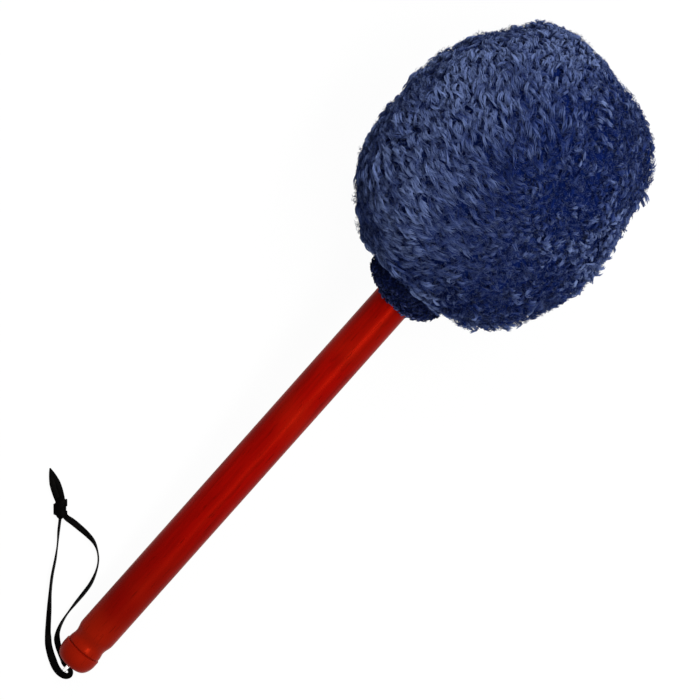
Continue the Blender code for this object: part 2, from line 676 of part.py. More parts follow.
def add_lace(lace_at_eye, lace_swing):
    """The short bend that stays in the eye, and the loop that swings about the eye's vertical line."""
    leather = make_material("black_leather", (0.012, 0.012, 0.013), 0.45)
    add_tube("lace_at_eye", smooth_route(LACE_AT_EYE, LACE_POINT_SPACING_AT_EYE), leather, lace_at_eye)
    add_tube("lace_outer_strand", smooth_route(LACE_OUTER_ROUTE, LACE_POINT_SPACING), leather, lace_swing)
    add_tube("lace_inner_strand", smooth_route(LACE_INNER_ROUTE, LACE_POINT_SPACING), leather, lace_swing)

    knot_outline = [(KNOT_LENGTH / 2 * along, KNOT_WIDTH / 2 * side) for along, side in KNOT_OUTLINE]
    knot = turned(knot_outline, SMALL_SIDES)
    bmesh.ops.scale(knot, verts=knot.verts, vec=(1, 1, KNOT_HEIGHT / KNOT_WIDTH))
    bmesh.ops.rotate(knot, verts=knot.verts, cent=(0, 0, 0), matrix=Matrix.Rotation(KNOT_TURN, 3, "Z"))
    bmesh.ops.translate(knot, verts=knot.verts, vec=(*KNOT_PLACE, KNOT_HEIGHT / 2 + GAP))
    add_mesh("lace_knot", knot, leather, lace_swing)
    upper_low = 2 * GAP + TAIL_THICKNESS
    add_tail("lace_tail_upper", TAIL_UPPER_LENGTH, TAIL_TURN + TAIL_FAN, upper_low, leather, lace_swing)
    add_tail("lace_tail_lower", TAIL_LOWER_LENGTH, TAIL_TURN - TAIL_FAN, GAP, leather, lace_swing)


def reach_below(outline, sides, tilt):
    """How far a turned piece reaches below the handle's axis at along = 0, once the head is raised by tilt."""
    flat_share = cos(pi / sides)
    return max(radius * flat_share * cos(tilt) - along * sin(tilt) for along, radius in outline)


def resting_tilt():
    """The slope of the handle at which the knob touches the table and the fleece is pressed REST_FLAT_DEPTH in."""
    head = head_surface(0.0, NECK_RADIUS, 60, 20)
    low, high = 0.0, pi / 4
    for _ in range(50):
        middle = (low + high) / 2
        pressed = reach_below(head, COVER_SIDES, middle) - reach_below(handle_outline(), HANDLE_SIDES, middle)
        if pressed > REST_FLAT_DEPTH:
            low = middle
        else:
            high = middle
    return low


def main():
    clear_scene()
    tilt = resting_tilt()
    axis_height = reach_below(handle_outline(), HANDLE_SIDES, tilt)
    cover = cover_shape(tilt, axis_height)
    laid = [Matrix.Rotation(-tilt, 3, "Y") @ point.co for point in cover.verts]
    eye_end_x = EYE_ALONG * cos(tilt) - EYE_RING_RADIUS - EYE_WIRE_RADIUS
    start_x = -(max(point.x for point in laid) + eye_end_x) / 2
    start_y = -(max(point.y for point in laid) + min(point.y for point in laid)) / 2

    mallet = bpy.data.objects.new("mallet_axis", None)
    mallet.location = (start_x, start_y, axis_height)
    mallet.rotation_euler = (0, -tilt, 0)
    lace_at_eye = bpy.data.objects.new("lace_at_eye_base", None)
    lace_swing = bpy.data.objects.new("lace_swing_axis", None)
    for empty in (mallet, lace_at_eye, lace_swing):
        bpy.context.scene.collection.objects.link(empty)
    for empty in (lace_at_eye, lace_swing):
        empty.location = (start_x + EYE_ALONG * cos(tilt), start_y, 0)

    add_handle_parts(mallet)
    add_core_parts(mallet)
    add_felt_parts(mallet)
    add_soft_layers(mallet)
    add_cover(mallet, cover)
    add_hem(mallet)
    add_lace(lace_at_eye, lace_swing)


main()
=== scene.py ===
"""A large soft gong mallet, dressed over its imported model: handle, fleece head, screw eye and wrist lace.

Metres, +Z up. The mallet lies on the plane z = 0 and the camera looks straight down on it. "Along" is the
distance from the end face of the knob on the handle's own axis, which rises towards the head.
"""
import json
from math import asin, atan2, cos, pi, radians, sin, tau

import bmesh
import bpy
import numpy as np
from bpy.props import FloatProperty, FloatVectorProperty, IntProperty, PointerProperty
from bpy.types import Operator, Panel, PropertyGroup
from mathutils import Matrix, Vector, noise


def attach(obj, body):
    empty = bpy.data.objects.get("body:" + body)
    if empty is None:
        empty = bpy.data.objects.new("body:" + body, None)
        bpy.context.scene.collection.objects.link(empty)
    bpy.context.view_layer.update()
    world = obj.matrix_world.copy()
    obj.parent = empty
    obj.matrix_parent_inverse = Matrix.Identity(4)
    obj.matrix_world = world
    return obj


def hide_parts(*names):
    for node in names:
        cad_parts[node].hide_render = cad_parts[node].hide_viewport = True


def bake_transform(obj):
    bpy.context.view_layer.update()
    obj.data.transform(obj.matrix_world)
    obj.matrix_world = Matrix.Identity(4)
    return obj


bl_info = {
    "name": "Gong Mallet",
    "version": (1, 0, 0),
    "blender": (4, 5, 0),
    "location": "3D View > Sidebar > Mallet",
    "description": "Dresses a large soft gong mallet with its turned handle, fleece head and wrist lace",
    "category": "Add Mesh",
}

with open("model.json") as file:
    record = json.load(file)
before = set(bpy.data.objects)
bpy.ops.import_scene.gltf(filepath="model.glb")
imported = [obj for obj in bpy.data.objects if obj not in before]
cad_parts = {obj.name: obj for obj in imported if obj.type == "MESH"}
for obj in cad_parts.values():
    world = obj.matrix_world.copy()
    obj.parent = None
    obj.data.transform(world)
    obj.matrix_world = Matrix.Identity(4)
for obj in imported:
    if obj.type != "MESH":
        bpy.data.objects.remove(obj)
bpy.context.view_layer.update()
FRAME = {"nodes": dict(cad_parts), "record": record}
MOUNTS = {mount["name"]: mount for mount in FRAME["record"]["mounts"]}
EYE_HOLE = Vector(FRAME["record"]["behaviour"]["joints"][0]["pos_m"])
AXIS_UP = Vector(MOUNTS["knob_end_face"]["axis"]) * -1
AXIS_TILT = atan2(AXIS_UP.z, AXIS_UP.x)
END_FACE = Vector((MOUNTS["knob_end_face"]["pos_m"][0], EYE_HOLE.y, MOUNTS["knob_end_face"]["pos_m"][2]))
AXIS_PLACE = Matrix.Translation(END_FACE) @ Matrix.Rotation(-AXIS_TILT, 4, "Y")
AXIS_TURN = np.array(AXIS_PLACE.to_3x3())

# The camera hangs over the table, turned so that the handle runs from lower left to upper right
CAMERA_FROM_END_FACE = (0.22473, -0.00023)
CAMERA_HEIGHT = 2.8
CAMERA_TURN = radians(-48.33)
CAMERA_LENS = 268.3
VIEW_RIGHT = np.array((cos(CAMERA_TURN), sin(CAMERA_TURN), 0.0))
VIEW_DOWN = np.array((sin(CAMERA_TURN), -cos(CAMERA_TURN), 0.0))

# Routes of the lace, seen from above: metres from the vertical line through the eye's hole, height above the
# table, share of the full width, and how far it is turned on its edge in degrees
LACE_OUTER_ROUTE = (
    (0.0000, 0.0000, 0.0089, 0.80, 0),
    (-0.0002, -0.0020, 0.0088, 0.80, 0),
    (-0.0013, -0.0034, 0.0083, 0.85, 0),
    (-0.0031, -0.0036, 0.0073, 0.95, 0),
    (-0.0048, -0.0018, 0.0059, 1.05, 0),
    (-0.0053, 0.0015, 0.0043, 1.16, 0),
    (-0.0046, 0.0050, 0.0027, 1.22, 0),
    (-0.0030, 0.0084, 0.0015, 1.25, 0),
    (-0.0014, 0.0113, 0.0012, 1.20, 0),
    (0.0014, 0.0153, 0.0012, 1.12, 0),
    (0.0044, 0.0183, 0.0012, 1.05, 12),
    (0.0075, 0.0211, 0.0012, 1.0, 34),
    (0.0156, 0.0275, 0.0013, 1.0, 50),
    (0.0231, 0.0334, 0.0016, 1.0, 73),
    (0.0305, 0.0386, 0.0018, 1.0, 77),
    (0.0383, 0.0432, 0.0018, 1.0, 82),
    (0.0448, 0.0475, 0.0018, 0.8, 92),
    (0.0507, 0.0519, 0.0019, 1.0, 80),
    (0.0560, 0.0556, 0.0021, 1.0, 76),
    (0.0586, 0.0575, 0.0024, 0.9, 60),
)
LACE_INNER_ROUTE = (
    (0.0000, 0.0000, 0.0089, 0.80, 0),
    (0.0002, 0.0026, 0.0071, 0.82, 0),
    (0.0013, 0.0049, 0.0036, 0.90, 0),
    (0.0028, 0.0079, 0.0015, 1.0, 0),
    (0.0043, 0.0107, 0.0012, 1.0, 0),
    (0.0064, 0.0136, 0.0012, 1.0, 6),
    (0.0088, 0.0156, 0.0013, 1.0, 48),
    (0.0122, 0.0172, 0.0016, 1.0, 64),
    (0.0166, 0.0184, 0.0018, 1.0, 78),
    (0.0217, 0.0191, 0.0018, 1.0, 87),
    (0.0282, 0.0195, 0.0017, 1.0, 71),
    (0.0353, 0.0198, 0.0016, 1.0, 60),
    (0.0416, 0.0205, 0.0017, 1.0, 65),
    (0.0483, 0.0227, 0.0018, 1.0, 85),
    (0.0533, 0.0257, 0.0018, 0.8, 91),
    (0.0570, 0.0299, 0.0018, 0.95, 88),
    (0.0590, 0.0343, 0.0017, 1.0, 62),
    (0.0596, 0.0392, 0.0015, 1.0, 36),
    (0.0596, 0.0447, 0.0015, 1.03, 10),
    (0.0594, 0.0498, 0.0018, 1.05, 4),
    (0.0590, 0.0537, 0.0022, 1.0, 20),
    (0.0600, 0.0566, 0.0024, 0.9, 30),
)
# Bulges and dents of the stuffed head, level with the table: heading from +X in degrees, height, and how far
# from its middle the bulge has fallen to about a third, in degrees
HEAD_BULGES = (
    (21.7, 0.0062, 12.0),
    (61.7, 0.0018, 14.0),
    (-10.3, -0.0026, 11.0),
    (-38.3, 0.0034, 13.0),
    (-68.3, -0.0034, 14.0),
    (-118.3, -0.0022, 9.0),
    (-132.3, 0.0014, 10.0),
)
# How the pile is combed: place in the view from the head's middle, in metres, and the direction of its lay
COMBED_LAY = (
    ((-0.062, -0.012), (0.55, 0.83)),
    ((-0.050, 0.042), (0.90, 0.42)),
    ((-0.022, 0.060), (0.95, 0.28)),
    ((-0.015, 0.008), (0.52, 0.86)),
    ((0.012, -0.066), (0.05, 1.00)),
    ((0.045, -0.076), (-0.45, 0.85)),
    ((0.055, -0.020), (0.30, 0.90)),
)
# Places where the pile parts: place in the view from the head's middle, and how wide the parting is
PARTINGS = (
    ((-0.0213, 0.0111), 0.0026),
    ((0.0085, -0.0101), 0.0034),
    ((0.0095, -0.0050), 0.0024),
    ((0.0260, -0.0021), 0.0030),
    ((0.0212, 0.0095), 0.0022),
    ((0.0345, -0.0420), 0.0040),
    ((-0.0300, -0.0420), 0.0020),
    ((0.0060, 0.0420), 0.0030),
)
# Patches of the pile painted lighter or darker, as painted light and shade: place in the view, how wide, and
# how much lighter
PAINTED_LIGHT_AND_SHADE = (
    ((0.031, 0.006), 0.024, -0.22),
    ((-0.003, 0.043), 0.026, -0.46),
    ((0.002, 0.012), 0.020, -0.32),
    ((0.055, -0.020), 0.018, -0.10),
    ((-0.014, -0.060), 0.024, 0.50),
    ((0.036, -0.066), 0.020, 0.30),
    ((-0.042, -0.022), 0.026, 0.30),
    ((-0.052, 0.010), 0.020, 0.26),
    ((0.040, 0.042), 0.018, 0.20),
)
# Where each strand passes from the mallet to the swinging loop: metres from the eye's line, level along Y
OUTER_SWINGS = (-0.0060, 0.0120)
INNER_SWINGS = (-0.0010, 0.0015)
# The length of a strand of the pile in its UV map, whose other direction is the strand's shade
STRAND_UV_SPAN = 0.25
# The knot's place from the eye's line and its heading, and the heading of the two ends beyond it
KNOT_PLACE = (0.0606, 0.0594)
KNOT_TURN = 0.733
TAILS_TURN = 1.026
# Painted shade along the handle: where the red, painted darker towards the knob end, starts to lighten and
# where it is full, along the handle in object coordinates turned to it
PAINTED_SHADE_ALONG_HANDLE = (-0.180, -0.070)
TABLE_CLEARANCE = 0.0003
# The head's width, whose curve a long strand follows down
HEAD_ACROSS = 0.14
# Without a seed the noise's directions differ in each run
NOISE_SEED = 11
SMOOTH_UNDER = radians(40)


def length(label, description, value):
    return FloatProperty(name=label, description=description, default=value, unit="LENGTH")


def number(label, description, value):
    return FloatProperty(name=label, description=description, default=value)


def colour(label, description, value):
    return FloatVectorProperty(
        name=label, description=description, default=value, subtype="COLOR", min=0.0, max=1.0, size=3
    )


class MalletSizes(PropertyGroup):
    shaft_diameter: length("Shaft", "Diameter of the handle", 0.0214)
    knob_diameter: length("Knob", "Diameter of the knob", 0.0215)
    tenon_diameter: length("Tenon", "Diameter inside the head", 0.016)
    tenon_start: length("Tenon start", "Along the handle", 0.3057)
    tenon_end: length("Tenon end", "Along the handle", 0.3933)
    wire_diameter: length("Eye wire", "Wire of the screw eye", 0.0020)
    eye_hole: length("Eye hole", "Hole of the screw eye", 0.0026)
    head_radius: length("Head radius", "Over the pile", 0.0719)
    head_widest: length("Head widest", "Along the handle", 0.3466)
    head_back: length("Head back", "Reach to the neck", 0.0730)
    head_front: length("Head front", "Reach to the far end", 0.0866)
    back_power: number("Back squareness", "Power of the neck side", 2.4)
    front_power: number("Front squareness", "Power of the far side", 2.2)
    neck_radius: length("Neck radius", "Where the hem starts", 0.0220)
    lace_width: length("Lace width", "Flat leather lace", 0.0034)
    lace_thickness: length("Lace thickness", "Leather", 0.0009)
    lace_outer: length("Outer strand", "Hole to knot", 0.1000)
    lace_inner: length("Inner strand", "Hole to knot", 0.1009)


class PileSettings(PropertyGroup):
    depth: length("Depth", "From the roots to the tips", 0.0066)
    backing_depth: length("Backing depth", "From the tips", 0.0060)
    spacing: length("Lock spacing", "Between locks", 0.0026)
    per_lock: IntProperty(name="Strands", description="In each lock", default=6)
    strand_width: length("Strand width", "At its thickest", 0.00058)
    first_radius: length("First radius", "Innermost locks", 0.0225)
    nap_spacing: length("Nap spacing", "Between fine fibres", 0.0015)
    nap_depth: length("Nap depth", "Of its roots", 0.0036)
    nap_width: length("Nap width", "Of a fine fibre", 0.00018)
    combed_reach: length("Combed reach", "Lying pile", 0.0088)
    curly_reach: length("Curly reach", "Standing pile", 0.0040)
    clump_spacing: length("Clump spacing", "Between clumps", 0.0078)
    tuft_spacing: length("Tuft spacing", "Between main tufts", 0.0125)
    tuft_height: length("Tuft height", "Of the main tufts", 0.0050)
    tufts_set_in: number("Tufts set in", "Share that lies at the plain form", 0.42)
    table_ease: length("Table ease", "Height where tufts are whole", 0.0110)
    skirt_radius: length("Skirt radius", "Fullest ring at the neck", 0.0360)
    skirt_width: length("Skirt width", "Of that ring", 0.0090)
    skirt_fullness: length("Skirt fullness", "Of that ring", 0.0026)


class MalletColours(PropertyGroup):
    red_stain: colour("Red stain", "Handle towards the head", (0.238, 0.0008, 0.0004))
    # Painted shade: the handle's red towards the knob end, darker where less light falls, away from the head
    red_painted_shade: colour("Red handled", "Handle where it is held", (0.145, 0.0005, 0.0004))
    red_shadow: colour("Red shadow", "Darker grain of the handle", (0.125, 0.0003, 0.0003))
    red_flame: colour("Red flame", "Lighter flecks of the handle", (0.330, 0.014, 0.003))
    # Painted shade: the pile's colour at its roots, darker for the shade deep in the pile
    fleece_depth_shade: colour("Fleece deep", "Roots of the pile", (0.001, 0.007, 0.064))
    fleece_navy: colour("Fleece navy", "Body of the pile", (0.002, 0.013, 0.104))
    fleece_slate: colour("Fleece slate", "Lightest tips of the pile", (0.135, 0.185, 0.372))
    # Painted shade: the hem pile's colour at its roots, darker for the shade deep in it
    hem_depth_shade: colour("Hem deep", "Roots of the hem's short pile", (0.001, 0.003, 0.022))
    hem_navy: colour("Hem navy", "Body of the hem's short pile", (0.012, 0.021, 0.105))
    hem_slate: colour("Hem slate", "Lightest tips of the hem's pile", (0.170, 0.210, 0.440))
    leather: colour("Leather", "Lace and knot", (0.0008, 0.0007, 0.0007))
    leather_edge: colour("Leather edge", "Worn places of the lace", (0.0022, 0.0018, 0.0016))
    steel: colour("Steel", "Bright wire", (0.93, 0.93, 0.91))


def sizes():
    return bpy.context.scene.mallet_sizes


def pile():
    return bpy.context.scene.mallet_pile


def colours():
    return bpy.context.scene.mallet_colours


def start_group(name, inputs, outputs):
    """A shader node group with its sockets: inputs as (name, kind, default) and outputs as (name, kind)."""
    group = bpy.data.node_groups.new(name, "ShaderNodeTree")
    for label, kind, value in inputs:
        socket = group.interface.new_socket(label, in_out="INPUT", socket_type=f"NodeSocket{kind}")
        if value is not None:
            socket.default_value = value
    for label, kind in outputs:
        group.interface.new_socket(label, in_out="OUTPUT", socket_type=f"NodeSocket{kind}")
    return group, group.nodes.new("NodeGroupInput"), group.nodes.new("NodeGroupOutput")


def feed(tree, node, inputs):
    """Links outputs or sets values on a node's sockets. A colour of three numbers gets an alpha of 1."""
    for socket, value in inputs:
        target = node.inputs[socket]
        if isinstance(value, bpy.types.NodeSocket):
            tree.links.new(value, target)
        elif target.type == "RGBA":
            target.default_value = (*value, 1.0)
        else:
            target.default_value = value


def add_node(tree, kind, inputs=(), **settings):
    """Adds a node, with settings on itself and (socket, value or output) pairs on its inputs."""
    node = tree.nodes.new(kind)
    for key, value in settings.items():
        setattr(node, key, value)
    feed(tree, node, inputs)
    return node


def maths(tree, operation, first, second=0.0, clamp=False):
    sockets = ((0, first), (1, second))
    return add_node(tree, "ShaderNodeMath", sockets, operation=operation, use_clamp=clamp).outputs[0]


def vector_maths(tree, operation, first, second):
    return add_node(tree, "ShaderNodeVectorMath", ((0, first), (1, second)), operation=operation).outputs[0]


def stepped(tree, value, low, high):
    """Runs smoothly from 0 at low to 1 at high."""
    sockets = (("Value", value), ("From Min", low), ("From Max", high))
    return add_node(tree, "ShaderNodeMapRange", sockets, interpolation_type="SMOOTHSTEP").outputs["Result"]


def ranged(tree, value, low, high):
    """Turns 0 to 1 into low to high."""
    sockets = (("Value", value), ("To Min", low), ("To Max", high))
    return add_node(tree, "ShaderNodeMapRange", sockets).outputs["Result"]


def mixed(tree, share, first, second):
    """The first colour where the share is 0 and the second where it is 1."""
    sockets = ((0, share), (6, first), (7, second))
    return add_node(tree, "ShaderNodeMix", sockets, data_type="RGBA").outputs[2]


def noise_at(tree, vector, scale, detail=3.0, roughness=0.5):
    sockets = (("Vector", vector), ("Scale", scale), ("Detail", detail), ("Roughness", roughness))
    return add_node(tree, "ShaderNodeTexNoise", sockets).outputs["Fac"]


def cells_at(tree, vector, scale):
    return add_node(tree, "ShaderNodeTexVoronoi", (("Vector", vector), ("Scale", scale))).outputs["Distance"]


def wood_grain_group():
    """Streaks, pores and slow shade along X. Puts out masks from 0 to 1 and a height."""
    if "wood_grain" in bpy.data.node_groups:
        return bpy.data.node_groups["wood_grain"]
    inputs = (("Vector", "Vector", None), ("Fineness", "Float", 1.0), ("Pore amount", "Float", 0.5))
    outputs = (("Streaks", "Float"), ("Pores", "Float"), ("Slow shade", "Float"), ("Height", "Float"))
    tree, given, result = start_group("wood_grain", inputs, outputs)
    place, fineness, pore_amount = (given.outputs[label] for label, kind, value in inputs)
    streak_stretch = (6.0, 150.0, 150.0)
    pore_stretch = (95.0, 1500.0, 1500.0)
    warp = noise_at(tree, place, 22.0, 2.0)
    bend = vector_maths(tree, "ADD", vector_maths(tree, "MULTIPLY", place, streak_stretch), warp)
    streak_noise = noise_at(tree, bend, maths(tree, "MULTIPLY", fineness, 2.6), 5.0, 0.62)
    streaks = stepped(tree, streak_noise, 0.36, 0.66)
    pore_noise = noise_at(tree, vector_maths(tree, "MULTIPLY", place, pore_stretch), fineness, 2.0, 0.6)
    pores = maths(tree, "MULTIPLY", stepped(tree, pore_noise, 0.60, 0.74), pore_amount)
    slow = noise_at(tree, place, 14.0, 2.0)
    height = maths(tree, "SUBTRACT", maths(tree, "MULTIPLY", streaks, 0.25), pores)
    feed(tree, result, (("Streaks", streaks), ("Pores", pores), ("Slow shade", slow), ("Height", height)))
    return tree


def pile_shade_group():
    """Colour of a strand from its shade (across) and the distance from its root (along), painted darker
    towards the root for the shade deep in the pile.
    """
    if "pile_shade" in bpy.data.node_groups:
        return bpy.data.node_groups["pile_shade"]
    inputs = (
        ("Shade", "Float", 0.5), ("Along", "Float", 0.5), ("Deep", "Color", None), ("Body", "Color", None),
        ("Light", "Color", None),
    )
    tree, given, result = start_group("pile_shade", inputs, (("Colour", "Color"),))
    shade, along, depth_shade, body, light = (given.outputs[label] for label, kind, value in inputs)
    lit = mixed(tree, maths(tree, "POWER", shade, 1.5), body, light)
    lifted = maths(tree, "MULTIPLY", maths(tree, "SUBTRACT", shade, 0.5), 0.5)
    # Painted shade: the colour darkens from the tip to the depth shade at the root, less far on lighter
    # strands
    rise = stepped(tree, maths(tree, "ADD", along, lifted), 0.20, 0.85)
    feed(tree, result, (("Colour", mixed(tree, rise, depth_shade, lit)),))
    return tree


def fuzz_group():
    """Matted fibres for felt, batting and backing: a mask from 0 to 1 and a height."""
    if "fuzz" in bpy.data.node_groups:
        return bpy.data.node_groups["fuzz"]
    inputs = (("Vector", "Vector", None), ("Scale", "Float", 900.0))
    tree, given, result = start_group("fuzz", inputs, (("Mask", "Float"), ("Height", "Float")))
    place, scale = (given.outputs[label] for label, kind, value in inputs)
    fine = noise_at(tree, place, scale, 6.0, 0.7)
    broad = noise_at(tree, place, maths(tree, "MULTIPLY", scale, 0.12))
    both = maths(tree, "ADD", maths(tree, "MULTIPLY", fine, 0.65), maths(tree, "MULTIPLY", broad, 0.35))
    feed(tree, result, (("Mask", stepped(tree, both, 0.3, 0.7)), ("Height", both)))
    return tree


def use_group(tree, group, *inputs):
    """Places a group in a material, and gives its outputs."""
    return add_node(tree, "ShaderNodeGroup", inputs, node_tree=group).outputs


def start_material(name, **sockets):
    """A Principled material with constants on the shader's own sockets, such as Roughness or Sheen_Weight."""
    material = bpy.data.materials.new(name)
    material.use_nodes = True
    tree = material.node_tree
    shader = tree.nodes["Principled BSDF"]
    feed(tree, shader, ((label.replace("_", " "), value) for label, value in sockets.items()))
    return material, tree, shader


def object_place(tree):
    return add_node(tree, "ShaderNodeTexCoord").outputs["Object"]


def along_axis(tree):
    """Object coordinates turned so that X runs along the handle."""
    sockets = (("Vector", object_place(tree)), ("Rotation", (0, AXIS_TILT, 0)))
    return add_node(tree, "ShaderNodeMapping", sockets).outputs["Vector"]


def bump(tree, height, distance, strength=1.0):
    sockets = (("Height", height), ("Distance", distance), ("Strength", strength))
    return add_node(tree, "ShaderNodeBump", sockets).outputs["Normal"]


def stained_wood():
    material, tree, shader = start_material(
        "red_stained_wood", Specular_IOR_Level=0.05, Metallic=0.20, Specular_Tint=(1.0, 0.50, 0.12)
    )
    tone = colours()
    pore_red = (0.05, 0.0, 0.0)
    place = along_axis(tree)
    grain = use_group(tree, wood_grain_group(), ("Vector", place), ("Pore amount", 0.75))
    along = add_node(tree, "ShaderNodeSeparateXYZ", (("Vector", place),)).outputs["X"]
    # Painted shade: the stain runs from a darker red at the knob end to its full red towards the head
    stain = mixed(tree, stepped(tree, along, *PAINTED_SHADE_ALONG_HANDLE), tone.red_painted_shade, tone.red_stain)
    base = mixed(tree, maths(tree, "MULTIPLY", grain["Streaks"], 0.6), stain, tone.red_shadow)
    fleck = maths(tree, "MULTIPLY", stepped(tree, grain["Slow shade"], 0.45, 0.75), 0.45)
    warm = mixed(tree, fleck, base, tone.red_flame)
    feed(tree, shader, (
        ("Base Color", mixed(tree, maths(tree, "MULTIPLY", grain["Pores"], 0.8), warm, pore_red)),
        ("Roughness", ranged(tree, grain["Streaks"], 0.30, 0.42)),
        ("Normal", bump(tree, grain["Height"], 0.00006, 0.6)),
    ))
    return material


def bright_steel():
    material, tree, shader = start_material("bright_steel", Metallic=1.0, Base_Color=colours().steel)
    place = object_place(tree)
    wear = noise_at(tree, place, 1400.0, 4.0, 0.6)
    dents = noise_at(tree, place, 420.0)
    feed(tree, shader, (
        ("Roughness", ranged(tree, wear, 0.10, 0.30)), ("Normal", bump(tree, dents, 0.00003, 0.5)),
    ))
    return material


def black_leather():
    material, tree, shader = start_material("black_leather", Specular_IOR_Level=0.01)
    tone = colours()
    place = object_place(tree)
    patches = noise_at(tree, place, 260.0, 4.0, 0.6)
    feed(tree, shader, (
        ("Base Color", mixed(tree, stepped(tree, patches, 0.5, 0.72), tone.leather, tone.leather_edge)),
        ("Roughness", ranged(tree, patches, 0.34, 0.56)),
        ("Normal", bump(tree, cells_at(tree, place, 2600.0), 0.00007, 0.7)),
    ))
    return material


def strand_pile(name, depth_shade, body, light, sheen):
    """The colour of strands whose UV map holds their shade and the distance from their roots, painted darker
    towards the roots.
    """
    material, tree, shader = start_material(
        name, Roughness=0.8, Specular_IOR_Level=0.02, Sheen_Weight=sheen, Sheen_Roughness=0.35,
        Sheen_Tint=(0.40, 0.52, 0.92),
    )
    strand = add_node(tree, "ShaderNodeUVMap").outputs["UV"]
    spots = add_node(tree, "ShaderNodeSeparateXYZ", (("Vector", strand),)).outputs
    along = maths(tree, "DIVIDE", spots["Y"], STRAND_UV_SPAN)
    shade = use_group(tree, pile_shade_group(), ("Shade", spots["X"]), ("Along", along), ("Deep", depth_shade),
                      ("Body", body), ("Light", light))
    feed(tree, shader, (("Base Color", shade["Colour"]),))
    return material


def fibrous(name, light, dark, scale, depth, most_light=1.0, roughness=(0.82, 0.98), sheen=0.15, gloss=0.5):
    """Felt, batting, cotton, thread, cord or backing: matted fibres between two shades."""
    material, tree, shader = start_material(name, Sheen_Weight=sheen, Specular_IOR_Level=gloss)
    fuzz = use_group(tree, fuzz_group(), ("Vector", object_place(tree)), ("Scale", scale))
    feed(tree, shader, (
        ("Base Color", mixed(tree, maths(tree, "MULTIPLY", fuzz["Mask"], most_light), dark, light)),
        ("Roughness", ranged(tree, fuzz["Mask"], *roughness)),
        ("Normal", bump(tree, fuzz["Height"], depth)),
    ))
    return material


def matted_backing(name, light, dark):
    return fibrous(name, light, dark, 520.0, 0.0006, 0.3, roughness=(0.85, 1.0), sheen=0.0, gloss=0.05)


def core_wood():
    material, tree, shader = start_material("core_maple", Specular_IOR_Level=0.35)
    pale, brown, pore_brown = (0.60, 0.43, 0.26), (0.44, 0.29, 0.16), (0.25, 0.15, 0.08)
    grain = use_group(tree, wood_grain_group(), ("Vector", along_axis(tree)), ("Pore amount", 0.3))
    feed(tree, shader, (
        ("Base Color", mixed(tree, grain["Pores"], mixed(tree, grain["Streaks"], pale, brown), pore_brown)),
        ("Roughness", ranged(tree, grain["Streaks"], 0.5, 0.65)),
        ("Normal", bump(tree, grain["Height"], 0.0001)),
    ))
    return material


def zinc_steel():
    material, tree, shader = start_material("zinc_steel", Metallic=1.0)
    bright, dull = (0.66, 0.67, 0.69), (0.54, 0.55, 0.58)
    spangle = cells_at(tree, object_place(tree), 300.0)
    feed(tree, shader, (
        ("Base Color", mixed(tree, stepped(tree, spangle, 0.1, 0.7), bright, dull)),
        ("Roughness", ranged(tree, spangle, 0.28, 0.45)),
    ))
    return material


def add_piece(name, mesh):
    piece = bpy.data.objects.new(name, mesh)
    bpy.context.scene.collection.objects.link(piece)
    return piece


def select_only(piece):
    bpy.ops.object.select_all(action="DESELECT")
    piece.select_set(True)
    bpy.context.view_layer.objects.active = piece


def lathe(name, outline, sides):
    """Draws out a circle along X through the outline's (along, radius) rings, and caps its two ends."""
    bpy.ops.object.select_all(action="DESELECT")
    along, radius = outline[0]
    bpy.ops.mesh.primitive_circle_add(
        vertices=sides, radius=radius, location=(along, 0, 0), rotation=(0, pi / 2, 0)
    )
    piece = bpy.context.object
    piece.name = piece.data.name = name
    bpy.ops.object.transform_apply(location=True, rotation=True, scale=True)
    bpy.ops.object.mode_set(mode="EDIT")
    bpy.ops.mesh.select_mode(type="VERT")
    bpy.ops.mesh.select_all(action="SELECT")
    for next_along, next_radius in outline[1:]:
        bpy.ops.mesh.extrude_edges_move(TRANSFORM_OT_translate={"value": (next_along - along, 0, 0)})
        growth = next_radius / radius
        bpy.ops.transform.resize(value=(1, growth, growth), center_override=(next_along, 0, 0))
        along, radius = next_along, next_radius
    bpy.ops.mesh.edge_face_add()
    bpy.ops.mesh.select_all(action="DESELECT")
    bpy.ops.object.mode_set(mode="OBJECT")
    for point in piece.data.vertices[:sides]:
        point.select = True
    bpy.ops.object.mode_set(mode="EDIT")
    bpy.ops.mesh.edge_face_add()
    bpy.ops.mesh.select_all(action="SELECT")
    bpy.ops.mesh.normals_make_consistent(inside=False)
    bpy.ops.object.mode_set(mode="OBJECT")
    return piece


def lay_on_axis(piece):
    """Moves a piece modelled along X to the handle's axis, and leaves its object at the origin."""
    select_only(piece)
    piece.matrix_world = AXIS_PLACE
    bpy.ops.object.transform_apply(location=True, rotation=True, scale=True)


def dress(piece, material, replaced, body="mallet"):
    """Gives a finished piece its shading and material and the body that it moves with, and hides the imported
    parts it stands for.
    """
    select_only(piece)
    bpy.ops.object.shade_smooth_by_angle(angle=SMOOTH_UNDER)
    piece.data.materials.clear()
    piece.data.materials.append(material)
    if body:
        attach(piece, body)
    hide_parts(*replaced)


def dress_pile(piece, material):
    piece.data.materials.append(material)
    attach(piece, "mallet")


def half_wave(start, end, steps):
    """Points from start to end whose radius follows half a cosine, without the start itself."""
    points = []
    run, rise = end[0] - start[0], end[1] - start[1]
    for k in range(1, steps + 1):
        share = k / steps
        points.append((start[0] + run * share, start[1] + rise * ((1 - cos(pi * share)) / 2)))
    return points


